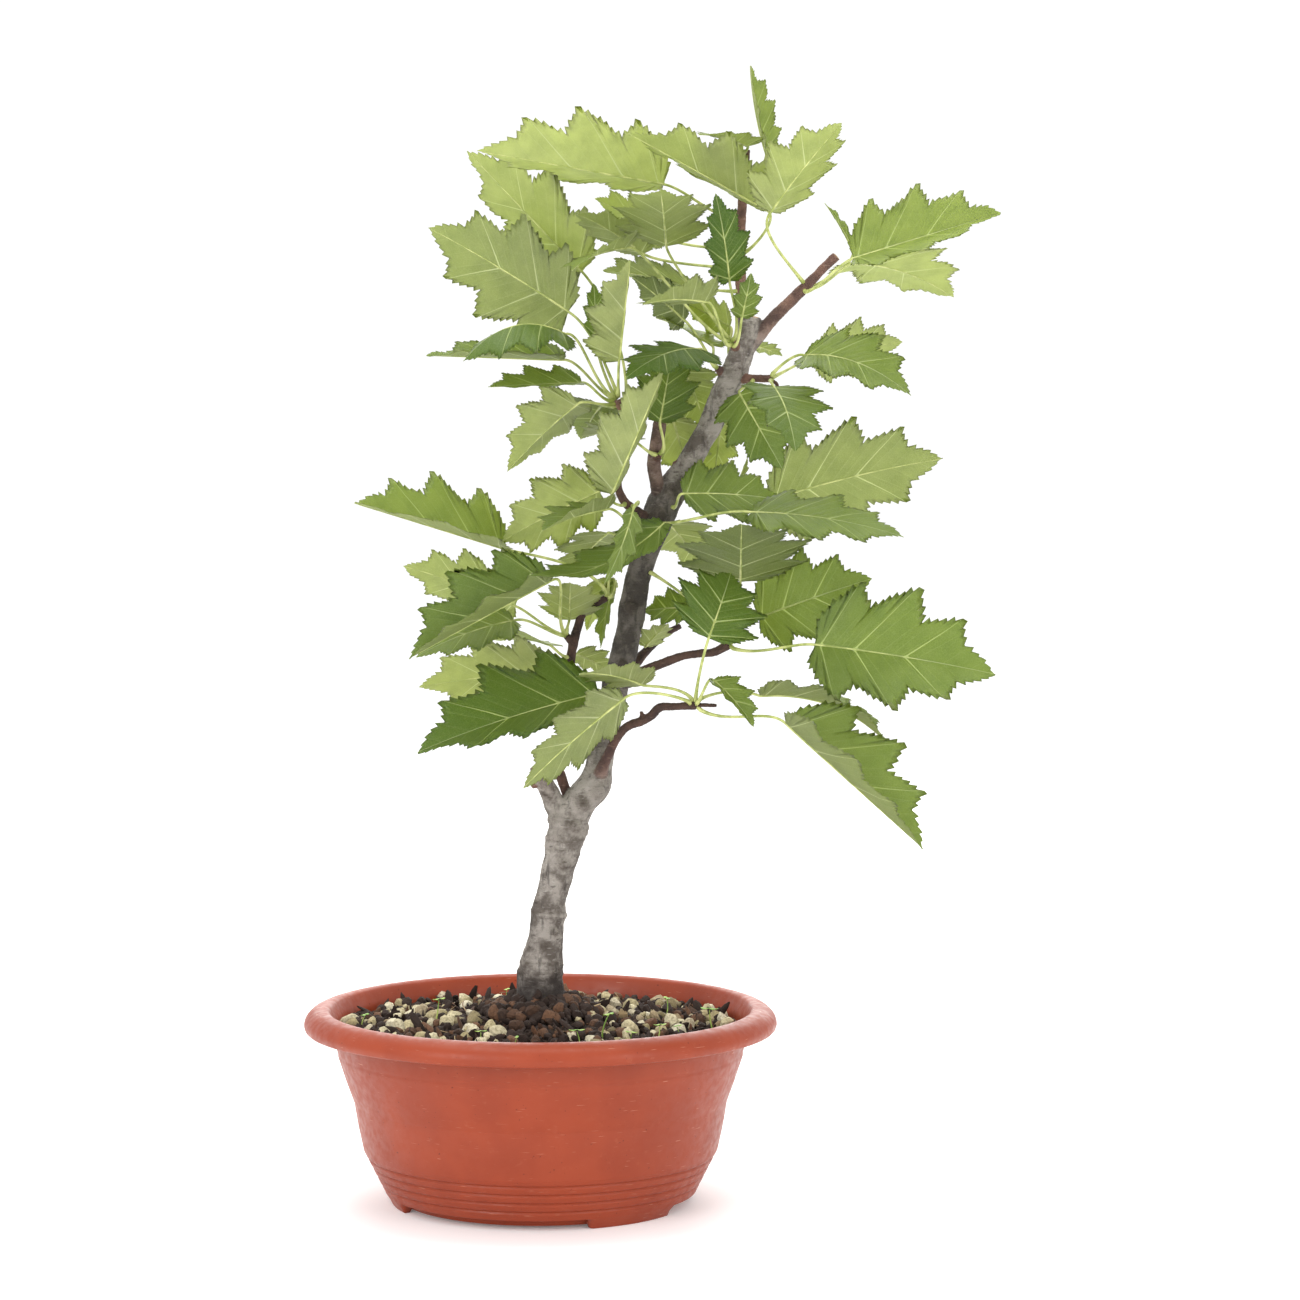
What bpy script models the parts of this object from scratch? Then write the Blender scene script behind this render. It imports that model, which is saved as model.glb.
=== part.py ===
"""A young wild service tree trained as a bonsai, in a round plastic bowl of compost and grit.

Lengths are typed in millimetres and held in metres. +Z is up and -Y is the front. The origin is on the
bowl's axis, on the bench that the bowl stands on.
"""
import math

import bmesh
import bpy
import numpy as np
from mathutils import Vector

MM = 0.001
FIT_GAP = 0.3 * MM              # air between two pieces that touch

# Bowl: a turned plastic shell on three short curved feet.
BOWL_HEIGHT = 95 * MM
BOWL_RADIUS = 115 * MM          # outside of the rolled lip
WALL = 2.2 * MM
LIP_OVERHANG = 14 * MM          # from the wall's outside to the lip's outside
LIP_CREST_INSET = 10 * MM       # from the lip's outside in to its highest line
LIP_DEPTH = 11 * MM
FOOT_RING_RADIUS = 73 * MM      # outside of the wall where it meets the bench
FOOT_RING_WIDTH = 3 * MM
FOOT_HEIGHT = 5 * MM
FOOT_SPAN = math.radians(39)
FOOT_TURN = math.radians(-51)   # middle of the first foot, anticlockwise from +X
FEET = 3
FLOOR_LIFT = 3.5 * MM           # air under the floor
FLOOR_THICKNESS = 3 * MM
BASE_RING_DROP = 2 * MM         # a ring under the floor's edge, seen between the feet
BASE_RING_WIDTH = 8 * MM
PAD_RADIUS = 12 * MM            # flat moulded disc in the middle of the underside, level with the feet
STEP_HEIGHTS = (11 * MM, 16 * MM, 21 * MM)
STEP_WIDTH = 0.6 * MM
BOWL_SEGMENTS = 40
# The wall's outline between the bench and the lip, as shares of that height and of that flare.
WALL_CURVE = ((0.0, 0.0), (0.08, 0.11), (0.31, 0.46), (0.45, 0.55), (0.59, 0.62), (0.70, 0.74), (0.89, 0.93), (1.0, 1.0))

# Compost and the grit strewn on it.
COMPOST_BELOW_RIM = 11 * MM     # at the wall
COMPOST_MOUND = 10 * MM         # rise from the wall to the trunk
GRIT_INNER_RADIUS = 27 * MM
GRIT_DEPTH = 4.5 * MM
GRIT_BUMP = 0.9 * MM
GRIT_SEGMENTS = 40

# Tree. The lists below were drawn for a tree of DRAWN_HEIGHT above a trunk foot at DRAWN_COLLAR.
TREE_HEIGHT = 455 * MM
TRUNK_RADIUS = 11 * MM
DRAWN_HEIGHT = 455 * MM
DRAWN_COLLAR = 94 * MM
DRAWN_TRUNK_RADIUS = 11 * MM
LEAF_THICKNESS = 0.8 * MM
STALK_RADIUS = 0.8 * MM

COLOURS = {
    "bowl": ((0.47, 0.094, 0.045), 0.42),
    "compost": ((0.022, 0.013, 0.008), 0.95),
    "grit": ((0.52, 0.46, 0.34), 0.9),
    "bark": ((0.20, 0.17, 0.14), 0.85),
    "leaf": ((0.13, 0.24, 0.05), 0.55),
}

# Limbs: (x, y, z, radius) along each centre line, in millimetres, from the thick end to the thin one.
TRUNK = (
    (-1, 0, 60, 8), (-1, 0, 82, 11), (-0.5, 0, 95, 12.6), (-0.5, 0, 105, 11.4), (0.5, 0, 116, 10.5),
    (2, -1, 124, 9), (3, -1, 135, 8.2), (4, -1, 141, 8.2), (5.5, -2, 150, 7.7), (8, -2, 160, 7.9),
    (10.5, -2, 170, 8.3), (12.5, -1, 180, 9.3), (15, 0, 188, 9), (20, 0, 196, 8.4), (26, 0, 203, 8.2),
    (28.5, 1, 212, 6.7), (30, 2, 222, 6.2), (34, 3, 240, 6.3), (38.5, 3, 260, 6.6), (43, 2, 278, 6.1),
    (45, 2, 290, 6.7), (47.5, 1, 304, 6), (51.5, 1, 318, 6.4), (56, 0, 330, 7.6), (60, 0, 340, 8),
    (66, 0, 350, 7), (72, 1, 359, 6), (78, 1, 370, 5.8), (83.5, 1, 380, 5.8), (87.5, 1, 391, 5.8),
    (93, 0, 401, 6.4), (97, 0, 412, 6), (99.5, -1, 420, 5.4), (101.5, -2, 430, 5.4),
)
LIMBS = {
    "left_fork": ((11, 0, 184, 6), (7, -2, 194, 5.2), (4, -4, 201, 4.6), (0.5, -6, 208, 4.3), (-1, -7, 213, 4.3)),
    "left_fork_spur": ((0, -5, 205, 2), (-4, -7, 203, 1.2)),
    "thin_stem": (
        (14, 3, 186, 4), (13, 5, 197, 2.8), (10.5, 6, 205, 2.5), (8, 7, 213, 2.5), (10.5, 8, 222, 2.4),
        (13, 9, 236, 2.4), (14.5, 9, 262, 2.3), (16, 8, 272, 2.4), (18.5, 8, 281, 2.2), (22, 7, 293, 2.3),
    ),
    "thin_stem_spur": ((21, 7, 289.5, 1.8), (27, 5, 291, 1.6), (32, 3, 294, 1.9)),
    "thin_stem_bud": ((16, 8, 271, 1.7), (12.5, 5, 275.5, 1.9)),
    "middle_stub": ((60, 0, 337, 4), (57, -4, 347, 3.4), (55.2, -5, 359, 3.4), (56.5, -5, 370, 3.3), (58, -5, 379, 3.3)),
    "middle_spur": ((56, -6, 361, 2), (57.5, -10, 363.5, 1.8)),
    "cut_peg": ((65, 0, 349, 3), (65.5, -1, 360, 1.4)),
    "dark_stub": ((54, -2, 329, 5), (49, -8, 329, 4.2), (45, -12, 327.5, 4.2)),
    "left_twig": (
        (51, -5, 333, 2.8), (45, -11, 337.5, 2.4), (41, -13, 341, 2.2), (38, -15, 348, 1.9),
        (38.5, -16, 357, 1.8), (40.5, -17, 370, 1.7), (40.5, -18, 382, 1.8), (38, -18, 390, 2.8),
    ),
    "upper_right": (
        (98, 0, 413, 5), (104, 0, 419.5, 3.8), (110, -1, 426, 3.2), (117, -2, 433.5, 2.9),
        (128, -4, 444, 2.6), (135, -5, 451.5, 2.2), (142.5, -7, 458.5, 2.3),
    ),
    "leader": ((99, 1, 418, 4.4), (98, 6, 432, 2.9), (97, 7, 450, 2.6), (97, 7, 470, 2.4), (98, 6, 490, 2.2), (99.5, 6, 510, 2)),
    "right_spur": ((95, -1, 400, 3), (104, -6, 400, 1.9), (111, -9, 400, 2)),
    "right_spur_peg": ((110, -9, 400, 1), (114, -12, 397, 0.9), (113.5, -13, 391, 0.9)),
    "top_spur": ((97, -1, 413, 3), (92, -8, 417.5, 2)),
    "left_spur": ((90, 0, 401, 3), (85.5, -4, 405, 1.8)),
    "branch_low_right": (
        (42, -1, 254, 4), (48, -7, 258, 2.6), (54, -9, 261, 2.3), (68, -13, 266.5, 2.1), (76, -15, 268, 2),
        (84, -16, 269, 2.1), (91, -17, 272.5, 2),
    ),
    "branch_back": ((40, 3, 256, 3.5), (47, 9, 263, 2.6), (53, 14, 269, 2.1), (60, 19, 275, 1.9), (68, 24, 279, 1.7)),
    "branch_lowest": (
        (28, 0, 206, 4.5), (30, -8, 212, 3.2), (33, -11, 219, 2.4), (37, -14, 227, 2.2), (42, -17, 233, 2.1),
        (49, -20, 236, 2.2), (54, -22, 239, 2.1), (58, -24, 243, 2.1), (66, -26, 243.5, 1.9), (75, -28, 244.5, 2.4),
    ),
    "lowest_twiglet": ((75, -28, 244.5, 1.2), (85, -31, 244.5, 0.9)),
    "lowest_peg": ((49.5, -20, 236, 1.2), (49, -20.5, 241, 1)),
}
ROOTS = {
    "root_left": ((0, 0, 96, 6), (-12, -3, 91, 4.2), (-20, -5, 84, 3)),
    "root_right": ((0, 0, 96, 6), (12, -4, 91, 4.2), (20, -7, 84, 3)),
    "root_front": ((0, 0, 96, 6), (2, -13, 91, 3.8), (4, -20, 83, 2.8)),
    "root_back_left": ((0, 0, 96, 6), (-6, 12, 91, 3.8), (-10, 19, 84, 2.8)),
    "root_back_right": ((0, 0, 96, 6), (9, 11, 91, 3.8), (14, 17, 84, 2.8)),
}
TRUNK_SIDES = 12
LIMB_SIDES = 8

# Leaves, in millimetres: a point on the bark by the stalk's foot, the blade's base, its tip, the way
# its upper side looks, how far each half folds up in degrees, how far the midrib arches up as a share of
# its length, and the width as a share of the usual one.
LEAVES = (
    ((101, 5, 497), (109, 3, 508), (101, -6, 549), (0.9, -0.35, 0.1), 25, -0.03, 0.85),
    ((98, 4, 505), (100, -3, 511), (76, -44, 514), (0.1, 0.12, 1.0), 12, 0.03, 0.8),
    ((99, 5, 461), (109, -14, 480), (43, -40, 515), (0.35, 0.45, 0.85), 26, 0.0, 0.95),
    ((127, -5, 446), (110, -36, 478), (142, -64, 518), (-0.1, 0.5, 0.85), 20, 0.02, 1.0),
    ((128, -8, 441), (150, -18, 457), (219, -32, 478), (-0.2, -0.67, 0.71), 28, 0.0, 1.0),
    ((131, -1, 443), (151, -5, 455), (203, 46, 440), (0.1, 0.5, 0.85), 10, 0.06, 1.0),
    ((94, 6, 476), (60, 0, 493), (-29, -20, 508), (0.12, 0.73, 0.67), 36, 0.0, 0.85),
    ((41, -15, 387), (20, 20, 452), (-36, 33, 511), (0.5, 0.7, 0.5), 6, 0.0, 0.95),
    ((37, -14, 395), (14, 3, 432), (-54, 14, 473), (0.2, 0.9, 0.37), 10, 0.03, 1.0),
    ((90, -7, 420), (61, -12, 463), (58, -70, 487), (0.0, 0.4, 0.9), 12, 0.04, 1.0),
    ((89, -10, 418), (42, -18, 462), (17, -62, 450), (-0.2, 0.35, 0.9), 10, 0.05, 0.9),
    ((94, 6, 453), (50, 6, 460), (18, -26, 478), (0.0, 0.45, 0.9), 10, 0.04, 0.85),
    ((95.5, -11.5, 421), (91, -20, 446), (84, -36, 487), (0.25, -0.95, 0.1), 14, 0.05, 0.72),
    ((91, -11, 415), (80, -34, 436), (50, -74, 434), (-0.1, 0.45, 0.88), 14, 0.04, 0.95),
    ((84, -6, 406), (77, -14, 414), (42, -58, 400), (0.0, -0.45, 0.9), -5, 0.08, 0.95),
    ((84, -2, 407), (83, 8, 416), (56, 46, 430), (-0.1, 0.45, 0.85), 8, 0.03, 0.9),
    ((95, 6, 442), (74, 10, 444), (30, 38, 453), (0.0, 0.5, 0.85), 10, 0.03, 0.85),
    ((87, -11, 272), (106, 8, 284), (160, -10, 304), (-0.2, -0.93, 0.25), 8, 0.03, 1.05),
    ((38, -20, 394), (38.5, -26, 408), (44, -58, 455), (-0.7, 0.65, 0.2), 38, 0.0, 0.85),
    ((34, -19, 392), (13, -26, 421), (-34, -56, 408), (0.0, -0.2, 1.0), -22, 0.18, 1.0),
    ((34, -15, 391), (12, -8, 409), (-54, -10, 411), (0.03, -0.18, 0.98), 20, 0.0, 0.85),
    ((33, -20, 389), (21, -30, 398), (-23, -46, 396), (0.0, -0.36, 0.93), 17, 0.0, 0.9),
    ((33, -20, 387), (19, -26, 388), (-16, 10, 355), (-0.28, 0.9, 0.31), 38, 0.04, 0.85),
    ((34, -15, 386), (30, -8, 387), (19, 38, 370), (0.2, 0.35, 0.9), 10, 0.05, 0.9),
    ((59, -11, 365), (58, -16, 379), (64, 22, 412), (0.1, -0.65, 0.75), 12, 0.03, 0.85),
    ((54, -10, 364), (44, -8, 371), (20, 26, 372), (0.0, 0.4, 0.9), 10, 0.05, 0.9),
    ((41, -17, 339), (35, -33, 345), (60, -40, 404), (-0.7, 0.7, 0.1), 38, 0.0, 0.9),
    ((36, -15, 349), (29, -8, 346), (-18, -16, 322), (-0.2, 0.85, 0.45), 8, 0.03, 1.1),
    ((43, -16, 331), (33, -30, 338), (3, -66, 329), (-0.3, -0.1, 0.95), 25, 0.03, 0.95),
    ((42, -13, 325), (33, -12, 326), (14, 26, 304), (-0.4, 0.7, 0.55), 8, 0.03, 0.95),
    ((45, -14, 339), (45, -56, 338), (32, -80, 305), (0.7, -0.5, 0.5), 20, 0.05, 0.45),
    ((58, -11, 328), (60, -20, 331), (-3, -66, 309), (-0.2, -0.5, 0.85), 10, -0.12, 0.5),
    ((32, 3, 296), (-17, -2, 318), (-87, -34, 341), (0.2, -0.45, 0.87), 36, 0.0, 0.9),
    ((11, 3, 278), (6, -31, 304), (-60, -57, 269), (-0.41, -0.54, 0.73), 48, 0.0, 1.0),
    ((10, 6, 276), (-12, 2, 290), (-67, 14, 309), (0.3, 0.8, 0.5), 8, 0.03, 0.95),
    ((10, 3, 276), (-12, -14, 284), (-58, -34, 268), (-0.2, -0.6, 0.75), 8, 0.05, 0.95),
    ((12, 7, 265), (4, 6, 271), (-27, 40, 271), (0.0, 0.4, 0.9), 8, 0.05, 0.95),
    ((32, -6, 238), (29, -16, 249), (-57, -42, 223), (-0.25, -0.6, 0.76), 20, 0.03, 0.95),
    ((11, 11, 248), (6, 16, 257), (-60, 22, 249), (0.0, 0.75, 0.65), 5, 0.03, 0.95),
    ((72, -30, 246), (41, -46, 249), (-6, -80, 210), (-0.3, 0.75, 0.2), 12, 0.03, 0.58),
    ((73, -28, 247), (50, -30, 254), (20, -64, 262), (0.0, 0.5, 0.85), 8, 0.05, 0.95),
    ((75, -29, 248), (81, -38, 277), (92, -12, 307), (0.35, -0.6, 0.7), 8, 0.05, 1.5),
    ((55, -4, 306), (73, 4, 289), (50, 14, 287), (0.0, -0.8, 0.5), 8, 0.04, 1.15),
    ((93, -14, 274), (97, 2, 302), (96, -62, 332), (0.0, 0.42, 0.9), 6, 0.03, 1.2),
    ((60, -12, 330), (101, -44, 337), (172, -58, 326), (0.1, -0.4, 0.9), 5, 0.04, 0.95),
    ((65, -8, 338), (69, -19, 345), (118, 2, 341), (0.1, -0.76, 0.6), 8, 0.04, 0.95),
    ((66, 6, 343), (112, 20, 341), (197, 32, 361), (-0.15, 0.8, 0.58), 5, 0.03, 1.05),
    ((56, 9, 330), (62, 18, 330), (84, 54, 300), (0.3, 0.7, 0.6), 8, 0.03, 0.95),
    ((102, -8, 398), (96, -12, 393), (116, -36, 357), (-0.3, -0.7, 0.5), 10, 0.06, 1.0),
    ((111, -12, 399), (112, -26, 396), (121, -66, 366), (0.25, -0.75, 0.6), 10, 0.08, 1.1),
    ((112, -8, 402), (127, -16, 411), (176, -46, 392), (0.15, -0.7, 0.7), 12, 0.12, 0.95),
    ((113, -7, 401), (134, 14, 410), (177, 34, 418), (0.0, 0.9, 0.4), 8, 0.03, 0.9),
    ((76, -31, 246), (83, -36, 257), (102, -52, 236), (0.5, -0.6, 0.6), 28, 0.05, 0.9),
    ((77, -27, 247), (106, -18, 248), (169, -40, 224), (0.25, 0.12, 0.95), 24, 0.12, 0.72),
    ((78, -28.5, 241.5), (117, -54, 238), (180, -82, 182), (0.6, -0.4, 0.7), 40, 0.0, 1.0),
    ((93, -18, 271), (132, -24, 273), (217, -40, 260), (0.05, -0.88, 0.47), 20, 0.03, 1.05),
)
# One half of a blade: where each main vein leaves the midrib, and where it or the notch beside it meets
# the margin, along and across, as shares of the blade's length.
HALF_BLADE = (
    (0.02, 0.01, 0.14), (0.04, 0.20, 0.36), (0.12, 0.27, 0.24), (0.22, 0.52, 0.37),
    (0.38, 0.56, 0.21), (0.50, 0.78, 0.24), (0.66, 0.81, 0.12),
)
STALK_RINGS = 4


def clear_scene():
    """Remove whatever the file holds."""
    for item in list(bpy.data.objects):
        bpy.data.objects.remove(item, do_unlink=True)


def new_collection(name):
    """Add a collection to the scene."""
    collection = bpy.data.collections.new(name)
    bpy.context.scene.collection.children.link(collection)
    return collection


def make_material(name):
    """A Principled surface in the named colour and roughness."""
    colour, roughness = COLOURS[name]
    material = bpy.data.materials.new(name)
    material.use_nodes = True
    shader = material.node_tree.nodes["Principled BSDF"]
    shader.inputs["Base Color"].default_value = (*colour, 1.0)
    shader.inputs["Roughness"].default_value = roughness
    return material


def mesh_object(name, points, faces, collection, material=None):
    """An object with its own mesh."""
    mesh = bpy.data.meshes.new(name)
    mesh.from_pydata([tuple(point) for point in points], [], faces)
    mesh.validate()
    if material:
        mesh.materials.append(material)
    item = bpy.data.objects.new(name, mesh)
    collection.objects.link(item)
    return item


def as_guide(item):
    """Mark an object as a cutter or a guide."""
    item.hide_render = True
    item.display_type = "WIRE"
    return item


def turned(name, profile, segments, collection, material=None):
    """A solid of revolution from a profile of (radius, height) that starts and ends on the axis."""
    edges = [(i, i + 1) for i in range(len(profile) - 1)]
    mesh = bpy.data.meshes.new(name)
    mesh.from_pydata([(radius, 0, height) for radius, height in profile], edges, [])
    if material:
        mesh.materials.append(material)
    item = bpy.data.objects.new(name, mesh)
    collection.objects.link(item)
    screw = item.modifiers.new("turn", "SCREW")
    screw.steps = segments
    screw.render_steps = segments
    screw.use_merge_vertices = True
    screw.merge_threshold = 0.01 * MM
    return item


def plate(name, outline, low, high, collection):
    """A flat outline made into a solid from low to high."""
    curve = bpy.data.curves.new(name, "CURVE")
    curve.dimensions = "2D"
    curve.fill_mode = "BOTH"
    curve.extrude = (high - low) / 2
    spline = curve.splines.new("POLY")
    spline.points.add(len(outline) - 1)
    for point, (x, y) in zip(spline.points, outline):
        point.co = (x, y, 0, 1)
    spline.use_cyclic_u = True
    item = bpy.data.objects.new(name, curve)
    item.location.z = (high + low) / 2
    collection.objects.link(item)
    return as_mesh(item, collection)


def as_mesh(item, collection):
    """Turn a curve object into a closed mesh object where it stands."""
    bpy.context.view_layer.update()
    evaluated = item.evaluated_get(bpy.context.evaluated_depsgraph_get())
    mesh = bpy.data.meshes.new_from_object(evaluated)
    work = bmesh.new()
    work.from_mesh(mesh)
    bmesh.ops.remove_doubles(work, verts=work.verts, dist=0.001 * MM)
    bmesh.ops.recalc_face_normals(work, faces=work.faces)
    work.to_mesh(mesh)
    work.free()
    made = bpy.data.objects.new(item.name, mesh)
    made.matrix_world = item.matrix_world
    collection.objects.link(made)
    name = item.name
    bpy.data.objects.remove(item, do_unlink=True)
    made.name = name
    return made


def boolean(item, other, operation):
    """Cut or join another object, which stays as a guide."""
    modifier = item.modifiers.new(other.name, "BOOLEAN")
    modifier.operation = operation
    modifier.object = other
    modifier.solver = "EXACT"
    return as_guide(other)


# Bowl

def wall_radius(height):
    """Outside radius of the bowl's wall at a height."""
    shoulder = BOWL_HEIGHT - LIP_DEPTH
    flare = BOWL_RADIUS - LIP_OVERHANG - FOOT_RING_RADIUS
    heights, shares = zip(*WALL_CURVE)
    if height > shoulder:
        slope = (shares[-1] - shares[-2]) / (heights[-1] - heights[-2])
        share = 1 + slope * (height / shoulder - 1)
    else:
        share = float(np.interp(height / shoulder, heights, shares))
    return FOOT_RING_RADIUS + flare * share


def inner_radius(height):
    """Inside radius of the bowl's wall at a height."""
    return wall_radius(height) - WALL


def floor_top():
    """Height of the bowl's inside floor."""
    return FLOOR_LIFT + FLOOR_THICKNESS


def bowl_profile():
    """Outline of half the bowl's section: underside, outer wall, lip, inner wall, floor."""
    shoulder = BOWL_HEIGHT - LIP_DEPTH
    crest = BOWL_RADIUS - LIP_CREST_INSET
    wall_base = FOOT_RING_RADIUS - FOOT_RING_WIDTH
    ring_base = wall_base - BASE_RING_WIDTH
    ring_level = FLOOR_LIFT - BASE_RING_DROP
    underside = [(0, 0), (PAD_RADIUS, 0), (PAD_RADIUS, FLOOR_LIFT), (ring_base, FLOOR_LIFT), (ring_base, ring_level)]
    underside += [(wall_base, ring_level), (wall_base, 0)]
    levels = [share * shoulder for share, _ in WALL_CURVE]
    wall = [(wall_radius(level), level) for level in levels]
    for level in STEP_HEIGHTS:
        wall.append((wall_radius(level) - STEP_WIDTH, level))
        wall.append((wall_radius(level), level + STEP_WIDTH))
    wall.sort(key=lambda point: point[1])
    under_lip = [(BOWL_RADIUS - 2.5 * MM, shoulder), (BOWL_RADIUS - 0.6 * MM, shoulder + 0.8 * MM)]
    round_lip = []
    for share in (1.0, 0.75, 0.5, 0.25, 0.0):
        angle = share * math.pi / 2
        radius = crest + LIP_CREST_INSET * math.sin(angle)
        round_lip.append((radius, BOWL_HEIGHT - (LIP_DEPTH - 3 * MM) * (1 - math.cos(angle))))
    mouth = [(crest - 2.5 * MM, BOWL_HEIGHT - 1.2 * MM)]
    inner_levels = [BOWL_HEIGHT - 6 * MM] + [level for level in reversed(levels) if level > floor_top()]
    inside = [(inner_radius(level), level) for level in inner_levels]
    floor = [(inner_radius(floor_top()), floor_top()), (0, floor_top())]
    return underside + wall + under_lip + round_lip + mouth + inside + floor


def build_bowl(parts, guides):
    """The bowl, with the wall's foot cut away between the feet."""
    bowl = turned("bowl", list(reversed(bowl_profile())), BOWL_SEGMENTS, parts, make_material("bowl"))
    inner = FOOT_RING_RADIUS - FOOT_RING_WIDTH - 1 * MM
    outer = BOWL_RADIUS
    steps = 12
    for foot in range(FEET):
        start = FOOT_TURN + 2 * math.pi * foot / FEET + FOOT_SPAN / 2
        angles = [start + (2 * math.pi / FEET - FOOT_SPAN) * i / steps for i in range(steps + 1)]
        outline = [(outer * math.cos(a), outer * math.sin(a)) for a in angles]
        outline += [(inner * math.cos(a), inner * math.sin(a)) for a in reversed(angles)]
        notch = plate(f"foot_gap_{foot + 1}", outline, -FOOT_HEIGHT, FOOT_HEIGHT, guides)
        boolean(bowl, notch, "DIFFERENCE")
    return bowl


# Compost and grit

def compost_top(radius):
    """Height of the compost's surface: a low mound round the trunk."""
    edge = BOWL_HEIGHT - COMPOST_BELOW_RIM
    share = min(1.0, radius / inner_radius(edge))
    return edge + COMPOST_MOUND * (1 - share) ** 1.6


def build_compost(parts, guides, roots):
    """The compost fills the bowl and is moulded round the roots."""
    edge = BOWL_HEIGHT - COMPOST_BELOW_RIM
    base = floor_top() + FIT_GAP
    knots = [share * (BOWL_HEIGHT - LIP_DEPTH) for share, _ in WALL_CURVE]
    profile = [(0, base)]
    for level in [base] + [knot for knot in knots if base < knot < edge] + [edge]:
        profile.append((inner_radius(level) - FIT_GAP, level))
    rim = profile[-1][0]
    for share in (0.8, 0.6, 0.4, 0.2, 0):
        profile.append((rim * share, compost_top(rim * share)))
    compost = turned("compost", list(reversed(profile)), BOWL_SEGMENTS, parts, make_material("compost"))
    boolean(compost, roots, "DIFFERENCE")
    return compost


def build_grit(parts):
    """A bumpy layer of loose grit on the compost, from near the trunk to the bowl's wall."""
    rings = 5
    angle = np.arange(GRIT_SEGMENTS) * 2 * math.pi / GRIT_SEGMENTS
    outer = inner_radius(BOWL_HEIGHT - COMPOST_BELOW_RIM) - 2 * FIT_GAP
    points = []
    for layer in (0, 1):
        for ring in range(rings):
            radius = GRIT_INNER_RADIUS + (outer - GRIT_INNER_RADIUS) * ring / (rings - 1)
            bump = np.sin(5 * angle + 3 * ring) * np.cos(9 * angle - 2 * ring) * GRIT_BUMP
            inner_taper = 0.4 if ring == 0 else 1.0
            lift = FIT_GAP + layer * (GRIT_DEPTH + bump) * inner_taper
            height = compost_top(radius) + lift
            points += list(zip(radius * np.cos(angle), radius * np.sin(angle), np.broadcast_to(height, angle.shape)))
    faces = []
    count = GRIT_SEGMENTS

    def vertex(layer, ring, step):
        return (layer * rings + ring) * count + step % count

    for step in range(count):
        for ring in range(rings - 1):
            a, b = vertex(1, ring, step), vertex(1, ring + 1, step)
            c, d = vertex(1, ring + 1, step + 1), vertex(1, ring, step + 1)
            faces.append((a, b, c, d))
            a, b = vertex(0, ring, step), vertex(0, ring, step + 1)
            c, d = vertex(0, ring + 1, step + 1), vertex(0, ring + 1, step)
            faces.append((a, b, c, d))
        for ring, flip in ((0, False), (rings - 1, True)):
            wall = (vertex(0, ring, step), vertex(1, ring, step), vertex(1, ring, step + 1), vertex(0, ring, step + 1))
            faces.append(wall[::-1] if flip else wall)
    return mesh_object("grit_layer", points, faces, parts, make_material("grit"))


# Tree

def planted(point):
    """A drawn point, in metres, on the tree as it stands in the bowl."""
    scale = TREE_HEIGHT / DRAWN_HEIGHT
    drawn = Vector(point[:3]) * MM - Vector((0, 0, DRAWN_COLLAR))
    return drawn * scale + Vector((0, 0, compost_top(0)))


def girth(radius):
    """A drawn limb radius, in metres, on the tree as it stands."""
    return radius * MM * TRUNK_RADIUS / DRAWN_TRUNK_RADIUS


def limb(name, points, sides, collection, swell=0.0):
    """A tapering round limb along its centre line, made fatter and longer by swell."""
    curve = bpy.data.curves.new(name, "CURVE")
    curve.dimensions = "3D"
    curve.bevel_depth = 1.0
    curve.bevel_resolution = (sides - 4) // 2
    curve.use_fill_caps = True
    places = [planted(point) for point in points]
    first = (places[0] - places[1]).normalized() * swell
    last = (places[-1] - places[-2]).normalized() * swell
    places[0] += first
    places[-1] += last
    spline = curve.splines.new("POLY")
    spline.points.add(len(points) - 1)
    for point, place, drawn in zip(spline.points, places, points):
        point.co = (*place, 1)
        point.radius = girth(drawn[3]) + swell
    item = bpy.data.objects.new(name, curve)
    collection.objects.link(item)
    return as_mesh(item, collection)


def build_tree(parts, guides):
    """Trunk, branches, stubs and root flare, grown as one piece."""
    tree = limb("tree", TRUNK, TRUNK_SIDES, parts)
    tree.data.materials.append(make_material("bark"))
    for name, points in {**LIMBS, **ROOTS}.items():
        boolean(tree, limb(name, points, LIMB_SIDES, guides), "UNION")
    return tree


def root_mould(guides):
    """The space that the roots and the trunk's foot take up in the compost."""
    below = tuple(point for point in TRUNK if point[2] < 120)
    mould = limb("root_mould", below, TRUNK_SIDES, guides, FIT_GAP)
    for name, points in ROOTS.items():
        boolean(mould, limb(f"{name}_mould", points, LIMB_SIDES, guides, FIT_GAP), "UNION")
    return mould


def stand_off(point):
    """Move a stalk's foot straight out until it stands clear of every limb; also give the way out."""
    place = planted(point)
    outward = Vector((0, 0, 1))
    for _ in range(6):
        worst = None
        for points in (TRUNK, *LIMBS.values()):
            for low, high in zip(points[:-1], points[1:]):
                a, b = planted(low), planted(high)
                share = max(0.0, min(1.0, (place - a).dot(b - a) / (b - a).length_squared))
                centre = a + (b - a) * share
                radius = girth(low[3] + (high[3] - low[3]) * share)
                air = (place - centre).length - radius
                if worst is None or air < worst[0]:
                    worst = (air, centre, radius)
        outward = (place - worst[1]).normalized()
        place = worst[1] + outward * (worst[2] + STALK_RADIUS + FIT_GAP)
    return place, outward


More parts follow.
